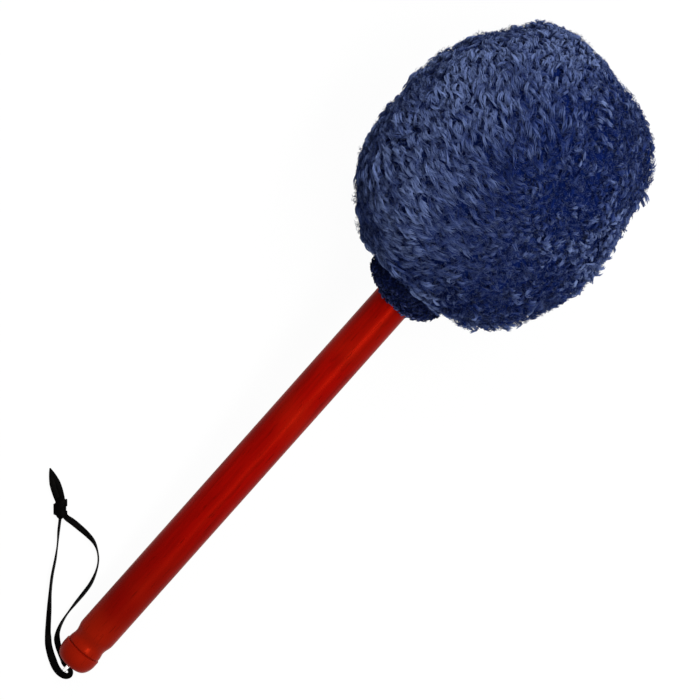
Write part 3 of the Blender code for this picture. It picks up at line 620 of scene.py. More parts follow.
class MALLET_OT_handle(Operator):
    """Turns the handle with its knob, groove, cove, shaft and tenon"""

    bl_idname = "mallet.handle"
    bl_label = "Handle"
    SIDES = 96
    EDGE_BREAK = 0.0001
    DIMPLE_RADIUS = 0.0026
    DIMPLE_FLOOR_RADIUS = 0.0016
    DIMPLE_DEPTH = 0.0011
    FACE_RADIUS = 0.0062
    CREST_ALONG = 0.0078
    KNOB_STEPS = 16
    GROOVE_ALONG = 0.0111
    GROOVE_HALF_WIDTH = 0.0005
    GROOVE_DEPTH = 0.0007
    COVE_RADIUS = 0.0095
    COVE_LOW_ALONG = 0.0162
    COVE_END_ALONG = 0.0228
    SHAFT_STEPS = 12
    SHOULDER_CHAMFER = 0.0005
    TENON_CHAMFER = 0.001

    def outline(self):
        size = sizes()
        fine = self.EDGE_BREAK
        knob, shaft, tenon = size.knob_diameter / 2, size.shaft_diameter / 2, size.tenon_diameter / 2
        points = [
            (self.DIMPLE_DEPTH, self.DIMPLE_FLOOR_RADIUS),
            (fine, self.DIMPLE_RADIUS),
            (0.0, self.DIMPLE_RADIUS + 2 * fine),
            (0.0, self.FACE_RADIUS - 3 * fine),
        ]
        for k in range(self.KNOB_STEPS + 1):
            turn = pi / 2 * k / self.KNOB_STEPS
            radius = self.FACE_RADIUS + (knob - self.FACE_RADIUS) * sin(turn)
            points.append((self.CREST_ALONG * (1 - cos(turn)), radius))
        edge = (knob + self.COVE_RADIUS) / 2
        groove_start = self.GROOVE_ALONG - self.GROOVE_HALF_WIDTH
        groove_end = self.GROOVE_ALONG + self.GROOVE_HALF_WIDTH
        lip = (groove_start - 2 * fine, edge + self.GROOVE_HALF_WIDTH + fine)
        cove = (groove_end + 2 * fine, edge)
        cove_low = (self.COVE_LOW_ALONG, self.COVE_RADIUS)
        points += half_wave(points[-1], lip, 5)
        points += [
            (groove_start, edge + self.GROOVE_HALF_WIDTH - fine),
            (self.GROOVE_ALONG - fine, edge - self.GROOVE_DEPTH),
            (self.GROOVE_ALONG + fine, edge - self.GROOVE_DEPTH),
            (groove_end, edge - fine),
            cove,
        ]
        points += half_wave(cove, cove_low, 8)
        points += half_wave(cove_low, (self.COVE_END_ALONG, shaft), 10)
        run = size.tenon_start - self.SHOULDER_CHAMFER - self.COVE_END_ALONG
        for k in range(self.SHAFT_STEPS):
            points.append((self.COVE_END_ALONG + run * (k + 1) / self.SHAFT_STEPS, shaft))
        return points + [
            (size.tenon_start, shaft - self.SHOULDER_CHAMFER),
            (size.tenon_start, tenon),
            (size.tenon_end - self.TENON_CHAMFER, tenon),
            (size.tenon_end, tenon - self.TENON_CHAMFER),
        ]

    def execute(self, context):
        piece = lathe("turned_handle", self.outline(), self.SIDES)
        lay_on_axis(piece)
        dress(piece, stained_wood(), replaced=["handle"])
        return {"FINISHED"}


class MALLET_OT_screw_eye(Operator):
    """Bends the wire of the screw eye and sinks its shank in the knob"""

    bl_idname = "mallet.screw_eye"
    bl_label = "Screw eye"
    # The shank's rings: along the handle, and radius as a share of the wire's
    SHANK = ((-0.0011, 0.9), (-0.0004, 1.08), (0.0003, 1.3), (0.0011, 1.3), (0.0040, 1.3), (0.0146, 1.2))

    def execute(self, context):
        size = sizes()
        wire = size.wire_diameter / 2
        bpy.ops.object.select_all(action="DESELECT")
        bpy.ops.mesh.primitive_torus_add(
            location=EYE_HOLE, rotation=(pi / 2, 0, 0), major_segments=64, minor_segments=20,
            major_radius=size.eye_hole / 2 + wire, minor_radius=wire,
        )
        eye = bpy.context.object
        shank = lathe("shank", [(along, wire * share) for along, share in self.SHANK], 32)
        lay_on_axis(shank)
        for piece in (eye, shank):
            piece.select_set(True)
        bpy.context.view_layer.objects.active = eye
        bpy.ops.object.join()
        eye.name = eye.data.name = "bent_screw_eye"
        bpy.ops.object.transform_apply(location=True, rotation=True, scale=True)
        dress(eye, bright_steel(), replaced=["screw_eye"])
        return {"FINISHED"}


def smooth_route(route, steps):
    """A finer run of rows on the smooth curve through the route's rows, whatever each row holds."""
    rows = [np.array(row, float) for row in route]
    rows = [2 * rows[0] - rows[1]] + rows + [2 * rows[-1] - rows[-2]]
    fine = []
    for before, start, end, after in zip(rows, rows[1:], rows[2:], rows[3:]):
        square = 2 * before - 5 * start + 4 * end - after
        cube = 3 * start - before - 3 * end + after
        for k in range(steps):
            t = k / steps
            fine.append(0.5 * (2 * start + (end - before) * t + square * t**2 + cube * t**3))
    fine.append(rows[-2])
    return np.array(fine)


def strip_ring(centre, side, up, half_width, half_thickness):
    """Points round a flat lace at its centre, with rounded edges and a slight crown."""
    edge = half_thickness * 0.8
    section = []
    for way, start in ((1, -pi / 2), (-1, pi / 2)):
        for k in range(5):
            turn = start + pi * k / 4
            section.append((way * (half_width - edge) + edge * cos(turn), half_thickness * sin(turn)))
        section.append((way * (half_width - edge) * 0.35, way * half_thickness * 1.04))
    return [Vector(centre) + side * a + up * b for a, b in section]


def skin(name, rings, closed=False):
    """A piece over rings of points, capped at its two ends or joined end to start."""
    shape = bmesh.new()
    rings = [[shape.verts.new(point) for point in ring] for ring in rings]
    for low, high in zip(rings, rings[1:] + (rings[:1] if closed else [])):
        for k in range(len(low)):
            following = (k + 1) % len(low)
            shape.faces.new((low[k], low[following], high[following], high[k]))
    if not closed:
        shape.faces.new(rings[0])
        shape.faces.new(rings[-1][::-1])
    bmesh.ops.recalc_face_normals(shape, faces=shape.faces)
    mesh = bpy.data.meshes.new(name)
    shape.to_mesh(mesh)
    shape.free()
    return add_piece(name, mesh)


def sweep_strip(name, centres, half_widths, turns, half_thickness):
    """Sweeps the lace along its centres. Turn 0 lies flat and a quarter turn stands on its edge."""
    last = len(centres) - 1
    rings = []
    for k, centre in enumerate(centres):
        run = Vector(centres[min(k + 1, last)] - centres[max(k - 1, 0)]).normalized()
        level = Vector((0, 0, 1)).cross(run).normalized()
        side = level * cos(turns[k]) + run.cross(level) * sin(turns[k])
        rings.append(strip_ring(centre, side, run.cross(side), half_widths[k], half_thickness))
    return skin(name, rings)


class MALLET_OT_lace(Operator):
    """Lays the two strands of the lace from the eye to the knot, and knots and tails them"""

    bl_idname = "mallet.lace"
    bl_label = "Wrist lace"
    STEPS = 7
    KNOT_HALF_LENGTH = 0.0060
    KNOT_HALF_WIDTH = 0.0039
    KNOT_HALF_HEIGHT = 0.0023
    KNOT_ABOVE_TABLE = 0.0004
    # The two turns round the knot: place along it, how far each leans, and half the lace's width there
    WRAPS = ((-0.0024, 0.45, 0.0021), (0.0017, -0.55, 0.0020))
    WRAP_POINTS = 40
    WRAP_INSET = 0.0006
    WRAP_LEAN = 0.6
    # The two ends: name, length, how far aside they bow, and height
    TAILS = (("tail_upper", 0.0186, 0.0014, 0.0022), ("tail_lower", 0.0180, -0.0014, 0.0011))
    TAIL_STEPS = 22
    TAIL_TUCK = 0.0023
    TAIL_BOW_FROM = 0.22
    TAIL_TWIST = 0.10
    POINT_FROM = 0.55
    POINT_LENGTH = 0.46
    POINT_TIP = 0.06

    def strand(self, name, route):
        rows = smooth_route(route, self.STEPS)
        centres = rows[:, :3] + np.array((EYE_HOLE.x, EYE_HOLE.y, 0.0))
        half_width, half_thickness = sizes().lace_width / 2, sizes().lace_thickness / 2
        turns = np.radians(rows[:, 4])
        lowest = half_width * rows[:, 3] * np.abs(np.sin(turns)) + half_thickness * np.abs(np.cos(turns))
        centres[:, 2] = np.maximum(centres[:, 2], lowest + TABLE_CLEARANCE)
        return sweep_strip(name, centres, half_width * rows[:, 3], turns, half_thickness), centres

    def at_knot(self, height):
        return Vector((EYE_HOLE.x + KNOT_PLACE[0], EYE_HOLE.y + KNOT_PLACE[1], height))

    def wrap(self, centre, place, lean, half_width):
        """One turn of the lace round the knot, whose width lies along it."""
        run = Vector((cos(KNOT_TURN), sin(KNOT_TURN), 0.0))
        side = Vector((-sin(KNOT_TURN), cos(KNOT_TURN), 0.0))
        points = []
        for k in range(self.WRAP_POINTS):
            turn = tau * k / self.WRAP_POINTS
            offset = place + lean * self.KNOT_HALF_WIDTH * self.WRAP_LEAN * cos(turn)
            across = (self.KNOT_HALF_WIDTH - self.WRAP_INSET) * cos(turn)
            rise = (self.KNOT_HALF_HEIGHT - self.WRAP_INSET) * sin(turn)
            points.append(centre + run * offset + side * across + Vector((0, 0, rise)))
        rings = []
        for k, point in enumerate(points):
            ahead = (points[(k + 1) % self.WRAP_POINTS] - points[k - 1]).normalized()
            width = (run - ahead * run.dot(ahead)).normalized()
            rings.append(strip_ring(point, width, ahead.cross(width), half_width, sizes().lace_thickness / 2))
        return skin("wrap", rings, closed=True)

    def knot(self):
        """Two turns of the doubled lace drawn tight round it, as one piece."""
        centre = self.at_knot(self.KNOT_HALF_HEIGHT + self.KNOT_ABOVE_TABLE)
        wraps = [self.wrap(centre, *row) for row in self.WRAPS]
        bpy.ops.object.select_all(action="DESELECT")
        bpy.ops.mesh.primitive_uv_sphere_add(segments=32, ring_count=16, radius=1.0)
        core = bpy.context.object
        core.scale = (self.KNOT_HALF_LENGTH, self.KNOT_HALF_WIDTH * 0.82, self.KNOT_HALF_HEIGHT * 0.8)
        core.rotation_euler = (0, 0, KNOT_TURN)
        core.location = centre
        bpy.ops.object.transform_apply(location=True, rotation=True, scale=True)
        for wrap in wraps:
            wrap.select_set(True)
        bpy.ops.object.join()
        core.name = core.data.name = "tied_knot"
        return core

    def tail(self, name, length, aside, height):
        """A flat end of the lace, cut to a point. The two lie half over each other and meet at their tips."""
        start = self.at_knot(height)
        start += Vector((cos(KNOT_TURN), sin(KNOT_TURN), 0)) * (self.KNOT_HALF_LENGTH - self.TAIL_TUCK)
        run = np.array((cos(TAILS_TURN), sin(TAILS_TURN), 0.0))
        across = np.array((-sin(TAILS_TURN), cos(TAILS_TURN), 0.0))
        centres, widths, turns = [], [], []
        for k in range(self.TAIL_STEPS + 1):
            t = k / self.TAIL_STEPS
            bow = aside * sin(pi * (self.TAIL_BOW_FROM + (1 - self.TAIL_BOW_FROM) * t))
            centres.append(np.array(start) + run * length * t + across * bow)
            pointed = max(1 - max(t - self.POINT_FROM, 0) / self.POINT_LENGTH, self.POINT_TIP)
            widths.append(sizes().lace_width / 2 * pointed**0.5)
            turns.append(self.TAIL_TWIST * sin(2.2 * t))
        return sweep_strip(name, centres, widths, turns, sizes().lace_thickness / 2 * 0.9)

    def execute(self, context):
        leather = black_leather()
        knot = self.knot()
        upper, lower = [self.tail(*row) for row in self.TAILS]
        for piece, node in ((knot, "lace_knot"), (upper, "lace_tail_upper"), (lower, "lace_tail_lower")):
            dress(piece, leather, replaced=[node], body="lace_loop")
        outer, outer_path = self.strand("strand_outer", LACE_OUTER_ROUTE)
        inner, inner_path = self.strand("strand_inner", LACE_INNER_ROUTE)
        dress(outer, leather, replaced=["lace_outer_strand", "lace_at_eye"], body=None)
        dress(inner, leather, replaced=["lace_inner_strand"], body=None)
        for piece, swings in ((outer, OUTER_SWINGS), (inner, INNER_SWINGS)):
            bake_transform(piece)
        return {"FINISHED"}


def head_profile(inset, first_radius, steps):
    """(along, radius) rows of the head's surface, set in by inset, from first_radius at the neck."""
    size = sizes()
    radius = size.head_radius - inset
    back, front = size.head_back - inset, size.head_front - inset
    back_power, front_power = 2 / size.back_power, 2 / size.front_power
    first_turn = asin((first_radius / radius) ** (size.back_power / 2))
    rows = []
    for k in range(steps):
        turn = first_turn + (pi / 2 - first_turn) * k / steps
        rows.append((size.head_widest - back * cos(turn) ** back_power, radius * sin(turn) ** back_power))
    for k in range(steps):
        turn = pi / 2 * k / steps
        rows.append((size.head_widest + front * sin(turn) ** front_power, radius * cos(turn) ** front_power))
    return rows + [(size.head_widest + front, 0.0)]


def grow_tufts(roots, normals, combs, looks, per_tuft, rings, rng):
    """Points, radii and shade of each tuft's strands. looks holds one number for each tuft, in metres:
    height, how far the tip droops again as a share of it, reach along the comb, curl, strand width, spread
    round the tuft's middle, and shade from 0 to 1."""
    size = (len(roots), per_tuft)
    across = np.cross(normals, combs)
    share = np.sqrt(rng.random(size))
    away = looks["spread"][:, None] * share
    turn = rng.random(size) * tau
    tall = looks["height"][:, None] * rng.uniform(0.84, 1.08, size)
    far = looks["reach"][:, None] * rng.uniform(0.80, 1.12, size)
    wave = looks["curl"][:, None] * rng.uniform(0.8, 1.2, size)
    phase = (rng.random(size[0]) * tau)[:, None] + rng.uniform(-0.3, 0.3, size)
    rate = rng.uniform(3.4, 6.0, size[0])[:, None]
    lean = rng.uniform(-0.12, 0.12, size)
    droop = looks["droop"][:, None]
    t = np.linspace(0, 1, rings) ** 0.94
    drawn_in = 1 - 0.35 * t**1.4
    up = tall[..., None] * (np.sin(pi / 2 * t**0.8) - droop[..., None] * t**2)
    ahead = far[..., None] * (0.3 * t + 0.7 * t**2)
    # A long strand follows the head's curve down, and its root sits a little lower ahead of the tuft's middle
    up = up - ahead**2 / HEAD_ACROSS + (away * np.cos(turn))[..., None] * drawn_in * 0.25
    sideways = wave[..., None] * (np.sin(rate[..., None] * t + phase[..., None]) - np.sin(phase)[..., None])
    sideways = sideways + ahead * lean[..., None] + (away * np.sin(turn))[..., None] * drawn_in
    ahead = ahead + (away * np.cos(turn))[..., None] * drawn_in
    line = roots[:, None, None, :]
    for distance, ways in ((up, normals), (ahead, combs), (sideways, across)):
        line = line + distance[..., None] * ways[:, None, None, :]
    # What would go through the table is pressed flat just above it
    floor = TABLE_CLEARANCE * 2
    line[..., 2] = np.where(line[..., 2] < floor, floor + (line[..., 2] - floor) * 0.04, line[..., 2])
    taper = (0.8 + 0.6 * t) * np.sqrt(1 - t**3)
    radii = looks["width"][:, None, None] / 2 * taper * rng.uniform(0.8, 1.2, size)[..., None]
    # Painted shade: strands round a tuft's edge, which lie deeper, are darker than those in its middle
    shade = looks["shade"][:, None] + rng.uniform(-0.07, 0.07, size) + 0.14 - 0.26 * share
    return line, radii, np.clip(shade, 0.0, 1.0)


def unit(vectors):
    return vectors / np.maximum(np.linalg.norm(vectors, axis=-1, keepdims=True), 1e-12)


def along_surface(ways, normals):
    """Unit directions along the surface, from ways that may point off it."""
    return unit(ways - normals * np.sum(ways * normals, axis=1, keepdims=True))


def pile_mesh(name, line, radii, tone, normals):
    """One mesh of closed three-sided strands, each tapered to a point. Its UV map holds their shade and the
    distance from their roots."""
    tufts, per_tuft, rings, _ = line.shape
    count = tufts * per_tuft
    line = line.reshape(count, rings, 3)
    radii = radii.reshape(count, rings)
    tone = tone.reshape(count)
    normals = np.repeat(normals, per_tuft, axis=0)
    run = unit(np.gradient(line, axis=1))
    side = unit(np.cross(run, normals[:, None, :]))
    out = np.cross(side, run)
    turns = tau * np.arange(3) / 3
    ring = (side[:, :, None, :] * np.cos(turns)[None, None, :, None]
            + out[:, :, None, :] * np.sin(turns)[None, None, :, None])
    tube = line[:, :-1, None, :] + ring[:, :-1] * radii[:, :-1, None, None]
    points = np.concatenate([tube.reshape(count, -1, 3), line[:, -1:, :]], axis=1)
    per_strand = points.shape[1]
    faces = [(0, 1, 2)]
    for k in range(rings - 2):
        for j in range(3):
            a, b = 3 * k + j, 3 * k + (j + 1) % 3
            faces += [(a, a + 3, b), (b, a + 3, b + 3)]
    last = 3 * (rings - 2)
    faces += [(last + j, per_strand - 1, last + (j + 1) % 3) for j in range(3)]
    faces = np.array(faces)[None] + (np.arange(count) * per_strand)[:, None, None]
    triangles = faces.reshape(-1, 3)
    mesh = bpy.data.meshes.new(name)
    mesh.vertices.add(count * per_strand)
    mesh.vertices.foreach_set("co", points.ravel())
    mesh.loops.add(triangles.size)
    mesh.loops.foreach_set("vertex_index", triangles.ravel().astype(np.int32))
    mesh.polygons.add(len(triangles))
    mesh.polygons.foreach_set("loop_start", np.arange(0, triangles.size, 3, dtype=np.int32))
    mesh.update(calc_edges=True)
    along = np.append(np.repeat(np.linspace(0.02, 0.98, rings)[:-1], 3), 0.98) * STRAND_UV_SPAN
    shift = np.append(np.tile((-0.002, 0.0, 0.002), rings - 1), 0.0)
    across = tone[:, None] * 0.98 + 0.01 + shift[None]
    uv = np.stack([across, np.broadcast_to(along, (count, per_strand))], axis=-1).reshape(-1, 2)
    layer = mesh.uv_layers.new(name="strand")
    layer.data.foreach_set("uv", uv[triangles.ravel()].ravel())
    mesh.shade_smooth()
    return add_piece(name, mesh)


def head_middle():
    return np.array(AXIS_PLACE @ Vector((sizes().head_widest, 0, 0)))


def to_handle(points):
    """Places from the end face, with X along the handle."""
    return (points - np.array(END_FACE)) @ AXIS_TURN


def from_handle(local):
    return local @ AXIS_TURN.T + np.array(END_FACE)


def eased(value, low, high):
    """Runs smoothly from 0 at low to 1 at high."""
    share = np.clip((value - low) / (high - low), 0.0, 1.0)
    return share * share * (3 - 2 * share)


def fading(apart, width):
    """1 in the middle of a place, and about a third at its width."""
    return np.exp(-((apart / width) ** 2))


def swirled(points, scale):
    return np.array([noise.noise_vector(Vector(point) * scale) for point in points])


def mottled(points, scale, shift=(0, 0, 0)):
    return np.array([noise.noise(Vector(point) * scale + Vector(shift)) for point in points])


def pile_height(points):
    """How far the fleece stands out from the plain head at each point, for its bulges, tufts and skirt."""
    size, form = sizes(), pile()
    local = to_handle(points)
    out = unit(points - head_middle())
    bulge = np.zeros(len(points))
    for heading, height, width in HEAD_BULGES:
        way = np.array((cos(radians(heading)), sin(radians(heading)), 0.0))
        bulge += height * fading(np.degrees(np.arccos(np.clip(out @ way, -1, 1))), width)
    nearest = np.array([noise.voronoi(Vector(spot) / form.tuft_spacing)[0][0] for spot in local])
    tuft = form.tuft_height * (form.tufts_set_in - nearest)
    radius = np.hypot(local[:, 1], local[:, 2])
    neck_side = local[:, 0] < size.head_widest
    skirt = form.skirt_fullness * fading(radius - form.skirt_radius, form.skirt_width)
    free = eased(points[:, 2], 0.0, form.table_ease)
    free = free * np.where(neck_side, eased(radius, size.neck_radius, form.skirt_radius), 1.0)
    return bulge + (tuft + skirt * neck_side) * free


def raised(points, normals, depth):
    """Points that lie depth under the plain head's surface, moved with the tufts and bulges above them."""
    above = points + normals * depth
    moved = points + unit(above - head_middle()) * pile_height(above)[:, None]
    moved[:, 2] = np.maximum(moved[:, 2], TABLE_CLEARANCE)
    return moved


class MALLET_OT_fleece(Operator):
    """Stuffs the head and plants its pile: combed on the upper left, curly and standing on the lower right"""

    bl_idname = "mallet.fleece"
    bl_label = "Fleece head"
    SEED = 11
    SECTIONS = 8
    RINGS = 5
    NAP_RINGS = 4
    FAR_END_RADIUS = 0.0008
    CURLY_IN_VIEW = (0.80, 0.60)
    SWIRL_SCALE = 34.0
    PATCH_SCALE = 52.0
    PATCH_SHIFT = (7, 3, 1)
    FINE_SCALE = 150.0
    LIFT_OFF_TABLE = (0.0, 0.0, 0.55)
    NAP_LIFT = (0.0, 0.0, 0.5)
    COMB_REACH = 0.012
    PARTING_PUSH = 2.2
    CLUMP_PULL = 0.8
    CLUMP_GAP = (0.02, 0.34)
    # The lip of long pile over the hem: distances from the handle's axis, how far behind the head's widest
    # ring it starts, and how strongly it is drawn back
    LIP_RADII = (0.030, 0.044)
    LIP_BACK = 0.03
    LIP_PULL = 1.2

    def backing(self):
        """The stuffed form under the pile, pressed flat where it lies on the table."""
        outline = head_profile(pile().backing_depth, sizes().neck_radius * 0.75, 36)
        outline[-1] = (outline[-1][0], self.FAR_END_RADIUS)
        piece = lathe("stuffed_head", outline, 144)
        lay_on_axis(piece)
        mesh = piece.data
        points = np.empty(len(mesh.vertices) * 3, np.float32)
        normals = np.empty(len(mesh.vertices) * 3, np.float32)
        mesh.vertices.foreach_get("co", points)
        mesh.vertex_normals.foreach_get("vector", normals)
        points = raised(points.reshape(-1, 3), normals.reshape(-1, 3), pile().backing_depth)
        mesh.vertices.foreach_set("co", points.ravel().astype(np.float32))
        mesh.update()
        tone = colours()
        # Painted shade: the backing is mostly the pile's dark depth colour, for the shade between the locks
        backing = matted_backing("navy_fleece_backing", tone.fleece_navy, tone.fleece_depth_shade)
        dress(piece, backing, replaced=["fleece_cover"])

    def roots(self, rng, spacing, depth):
        """Root places and outward normals, in rows a spacing apart and depth under the head's surface."""
        rows = np.array(head_profile(depth, pile().first_radius, 300))
        walked = np.concatenate([[0], np.cumsum(np.hypot(*np.diff(rows, axis=0).T))])
        places = []
        for k in range(int(walked[-1] / spacing)):
            middle = (k + 0.5) * spacing
            radius = np.interp(middle, walked, rows[:, 1])
            number = max(round(tau * radius / spacing), 3)
            turns = (np.arange(number) + rng.random() + rng.uniform(-0.4, 0.4, number)) * tau / number
            distances = middle + rng.uniform(-0.45, 0.45, number) * spacing
            places.append(np.stack([distances, turns], axis=1))
        distances, turns = np.concatenate(places).T
        distances = np.clip(distances, 0, walked[-1] - 1e-5)
        along, radius = (np.interp(distances, walked, row) for row in rows.T)
        run_along, run_out = (np.interp(distances, walked, np.gradient(row, walked)) for row in rows.T)
        local = np.stack([along, radius * np.sin(turns), radius * np.cos(turns)], axis=1)
        normal = unit(np.stack([-run_out, run_along * np.sin(turns), run_along * np.cos(turns)], axis=1))
        return raised(from_handle(local), normal @ AXIS_TURN.T, depth), normal @ AXIS_TURN.T

    def combed(self, offsets):
        """The lay of the combed pile at each place in the view, from the nearest of the noted directions."""
        spots = np.array([spot for spot, way in COMBED_LAY])
        ways = np.array([way for spot, way in COMBED_LAY])
        apart = np.linalg.norm(offsets[:, None, :] - spots[None], axis=2)
        weights = 1 / (apart**2 + self.COMB_REACH**2) ** 1.5
        blended = unit(weights @ ways)
        return blended[:, :1] * VIEW_RIGHT + blended[:, 1:] * VIEW_DOWN

    def part(self, lay, offsets, on_top):
        """Pushes the lay aside at the partings, and gives it with how far the pile is parted."""
        parted = np.zeros(len(offsets))
        for place, width in PARTINGS:
            from_place = offsets - np.array(place)
            apart = np.linalg.norm(from_place, axis=1)
            near = fading(apart, width) * on_top
            parted = np.maximum(parted, near)
            away = from_place / np.maximum(apart, 1e-6)[:, None]
            aside = away[:, :1] * VIEW_RIGHT + away[:, 1:] * VIEW_DOWN
            lay = lay + aside * (near * self.PARTING_PUSH)[:, None]
        return lay, parted

    def clumps(self, roots):
        """Directions to the middle of each root's clump, and how near it is to the gap between two clumps."""
        spacing = pile().clump_spacing
        found = [noise.voronoi(Vector(point) / spacing) for point in roots]
        near_two = np.array([distances[:2] for distances, places in found])
        middles = np.array([places[0] for distances, places in found]) * spacing
        return unit(middles - roots), 1 - eased(near_two[:, 1] - near_two[:, 0], *self.CLUMP_GAP)

    def execute(self, context):
        self.backing()
        form, tone = pile(), colours()
        rng = np.random.default_rng(self.SEED)
        roots, normals = self.roots(rng, form.spacing, form.depth)
        middle = head_middle()
        count = len(roots)
        offsets = np.stack([(roots - middle) @ VIEW_RIGHT, (roots - middle) @ VIEW_DOWN], axis=1)
        patch = mottled(roots, self.PATCH_SCALE, self.PATCH_SHIFT)
        fine = mottled(roots, self.FINE_SCALE)
        toward = (offsets @ np.array(self.CURLY_IN_VIEW)) / sizes().head_radius
        curly = eased(toward + 0.20 * patch + 0.08, 0.0, 0.50)
        wild = rng.normal(size=roots.shape)
        lay = self.combed(offsets) * (1 - 0.6 * curly)[:, None] + np.array(self.LIFT_OFF_TABLE)
        lay = lay + swirled(roots, self.SWIRL_SCALE) * (0.35 + 0.5 * curly)[:, None]
        lay = lay + wild * (0.12 + 0.36 * curly)[:, None]
        lay, parted = self.part(lay, offsets, roots[:, 2] > middle[2])
        # Painted light and shade: the pile is made lighter or darker in patches, by place in the view
        painted_light_and_shade = np.zeros(count)
        for place, width, lighter in PAINTED_LIGHT_AND_SHADE:
            painted_light_and_shade += lighter * fading(np.linalg.norm(offsets - np.array(place), axis=1), width)
        inward, between = self.clumps(roots)
        lay = lay + inward * (self.CLUMP_PULL * between)[:, None]
        local = to_handle(roots)
        lip = 1 - eased(np.hypot(local[:, 1], local[:, 2]), *self.LIP_RADII)
        lip = lip * (local[:, 0] < sizes().head_widest - self.LIP_BACK)
        combs = along_surface(lay + np.array(-AXIS_UP) * (self.LIP_PULL * lip)[:, None], normals)
        uneven = rng.uniform(-0.22, 0.14, count) * (0.3 + 0.7 * curly)
        reach = form.combed_reach * (1 - curly) + form.curly_reach * curly
        tall = (1.00 - 0.06 * curly + 0.12 * patch + 0.10 * fine + uneven) * (1 - 0.6 * parted)
        looks = {
            "height": form.depth * (tall * (1 - (0.35 + 0.25 * curly) * between)),
            "droop": rng.uniform(0.25, 0.55, count) * (1 - curly) + rng.uniform(-0.10, 0.45, count) * curly,
            "reach": reach * rng.uniform(0.75, 1.25, count) * (1 - 0.4 * parted),
            "curl": 0.0010 + 0.0006 * curly,
            "width": form.strand_width * rng.uniform(0.85, 1.15, count),
            "spread": form.spacing * rng.uniform(0.28, 0.42, count),
            # Painted shade: partings and the gaps between clumps are darker, on top of the random tone
            "shade": 0.62 + (0.24 * patch + 0.16 * fine) * (1 + curly)
            + rng.uniform(-0.15, 0.15, count) * (1 + 0.8 * curly)
            + painted_light_and_shade - 0.5 * parted - (0.28 + 0.62 * curly) * between + 0.30 * lip,
        }
        fleece = strand_pile("navy_fleece_pile", tone.fleece_depth_shade, tone.fleece_navy, tone.fleece_slate, 0.24)
        strands = grow_tufts(roots, normals, combs, looks, form.per_lock, self.RINGS, rng)
        self.add_sections("fleece_pile", roots, normals, strands, fleece)
        self.nap(rng, fleece)
        return {"FINISHED"}

    def nap(self, rng, fleece):
        """Single fine fibres among the locks, all over the head."""
        form = pile()
        roots, normals = self.roots(rng, form.nap_spacing, form.nap_depth)
        count = len(roots)
        combs = along_surface(rng.normal(size=roots.shape) + np.array(self.NAP_LIFT), normals)
        looks = {
            "height": form.nap_depth * rng.uniform(0.62, 0.82, count),
            "droop": rng.uniform(0.0, 0.5, count),
            "reach": rng.uniform(0.0010, 0.0034, count),
            "curl": np.full(count, 0.0005),
            "width": np.full(count, form.nap_width),
            "spread": np.full(count, 0.0001),
            "shade": rng.uniform(0.20, 0.60, count),
        }
        strands = grow_tufts(roots, normals, combs, looks, 1, self.NAP_RINGS, rng)
        self.add_sections("fleece_nap", roots, normals, strands, fleece)

    def add_sections(self, name, roots, normals, strands, fleece):
        """Makes meshes of strands, one for each section round the head."""
        local = to_handle(roots)
        around = np.arctan2(local[:, 1], local[:, 2])
        for k in range(self.SECTIONS):
            low = -pi + tau * k / self.SECTIONS
            chosen = (around >= low) & (around < low + tau / self.SECTIONS)
            piece = pile_mesh(f"{name}_{k + 1}", *(part[chosen] for part in strands), normals[chosen])
            dress_pile(piece, fleece)


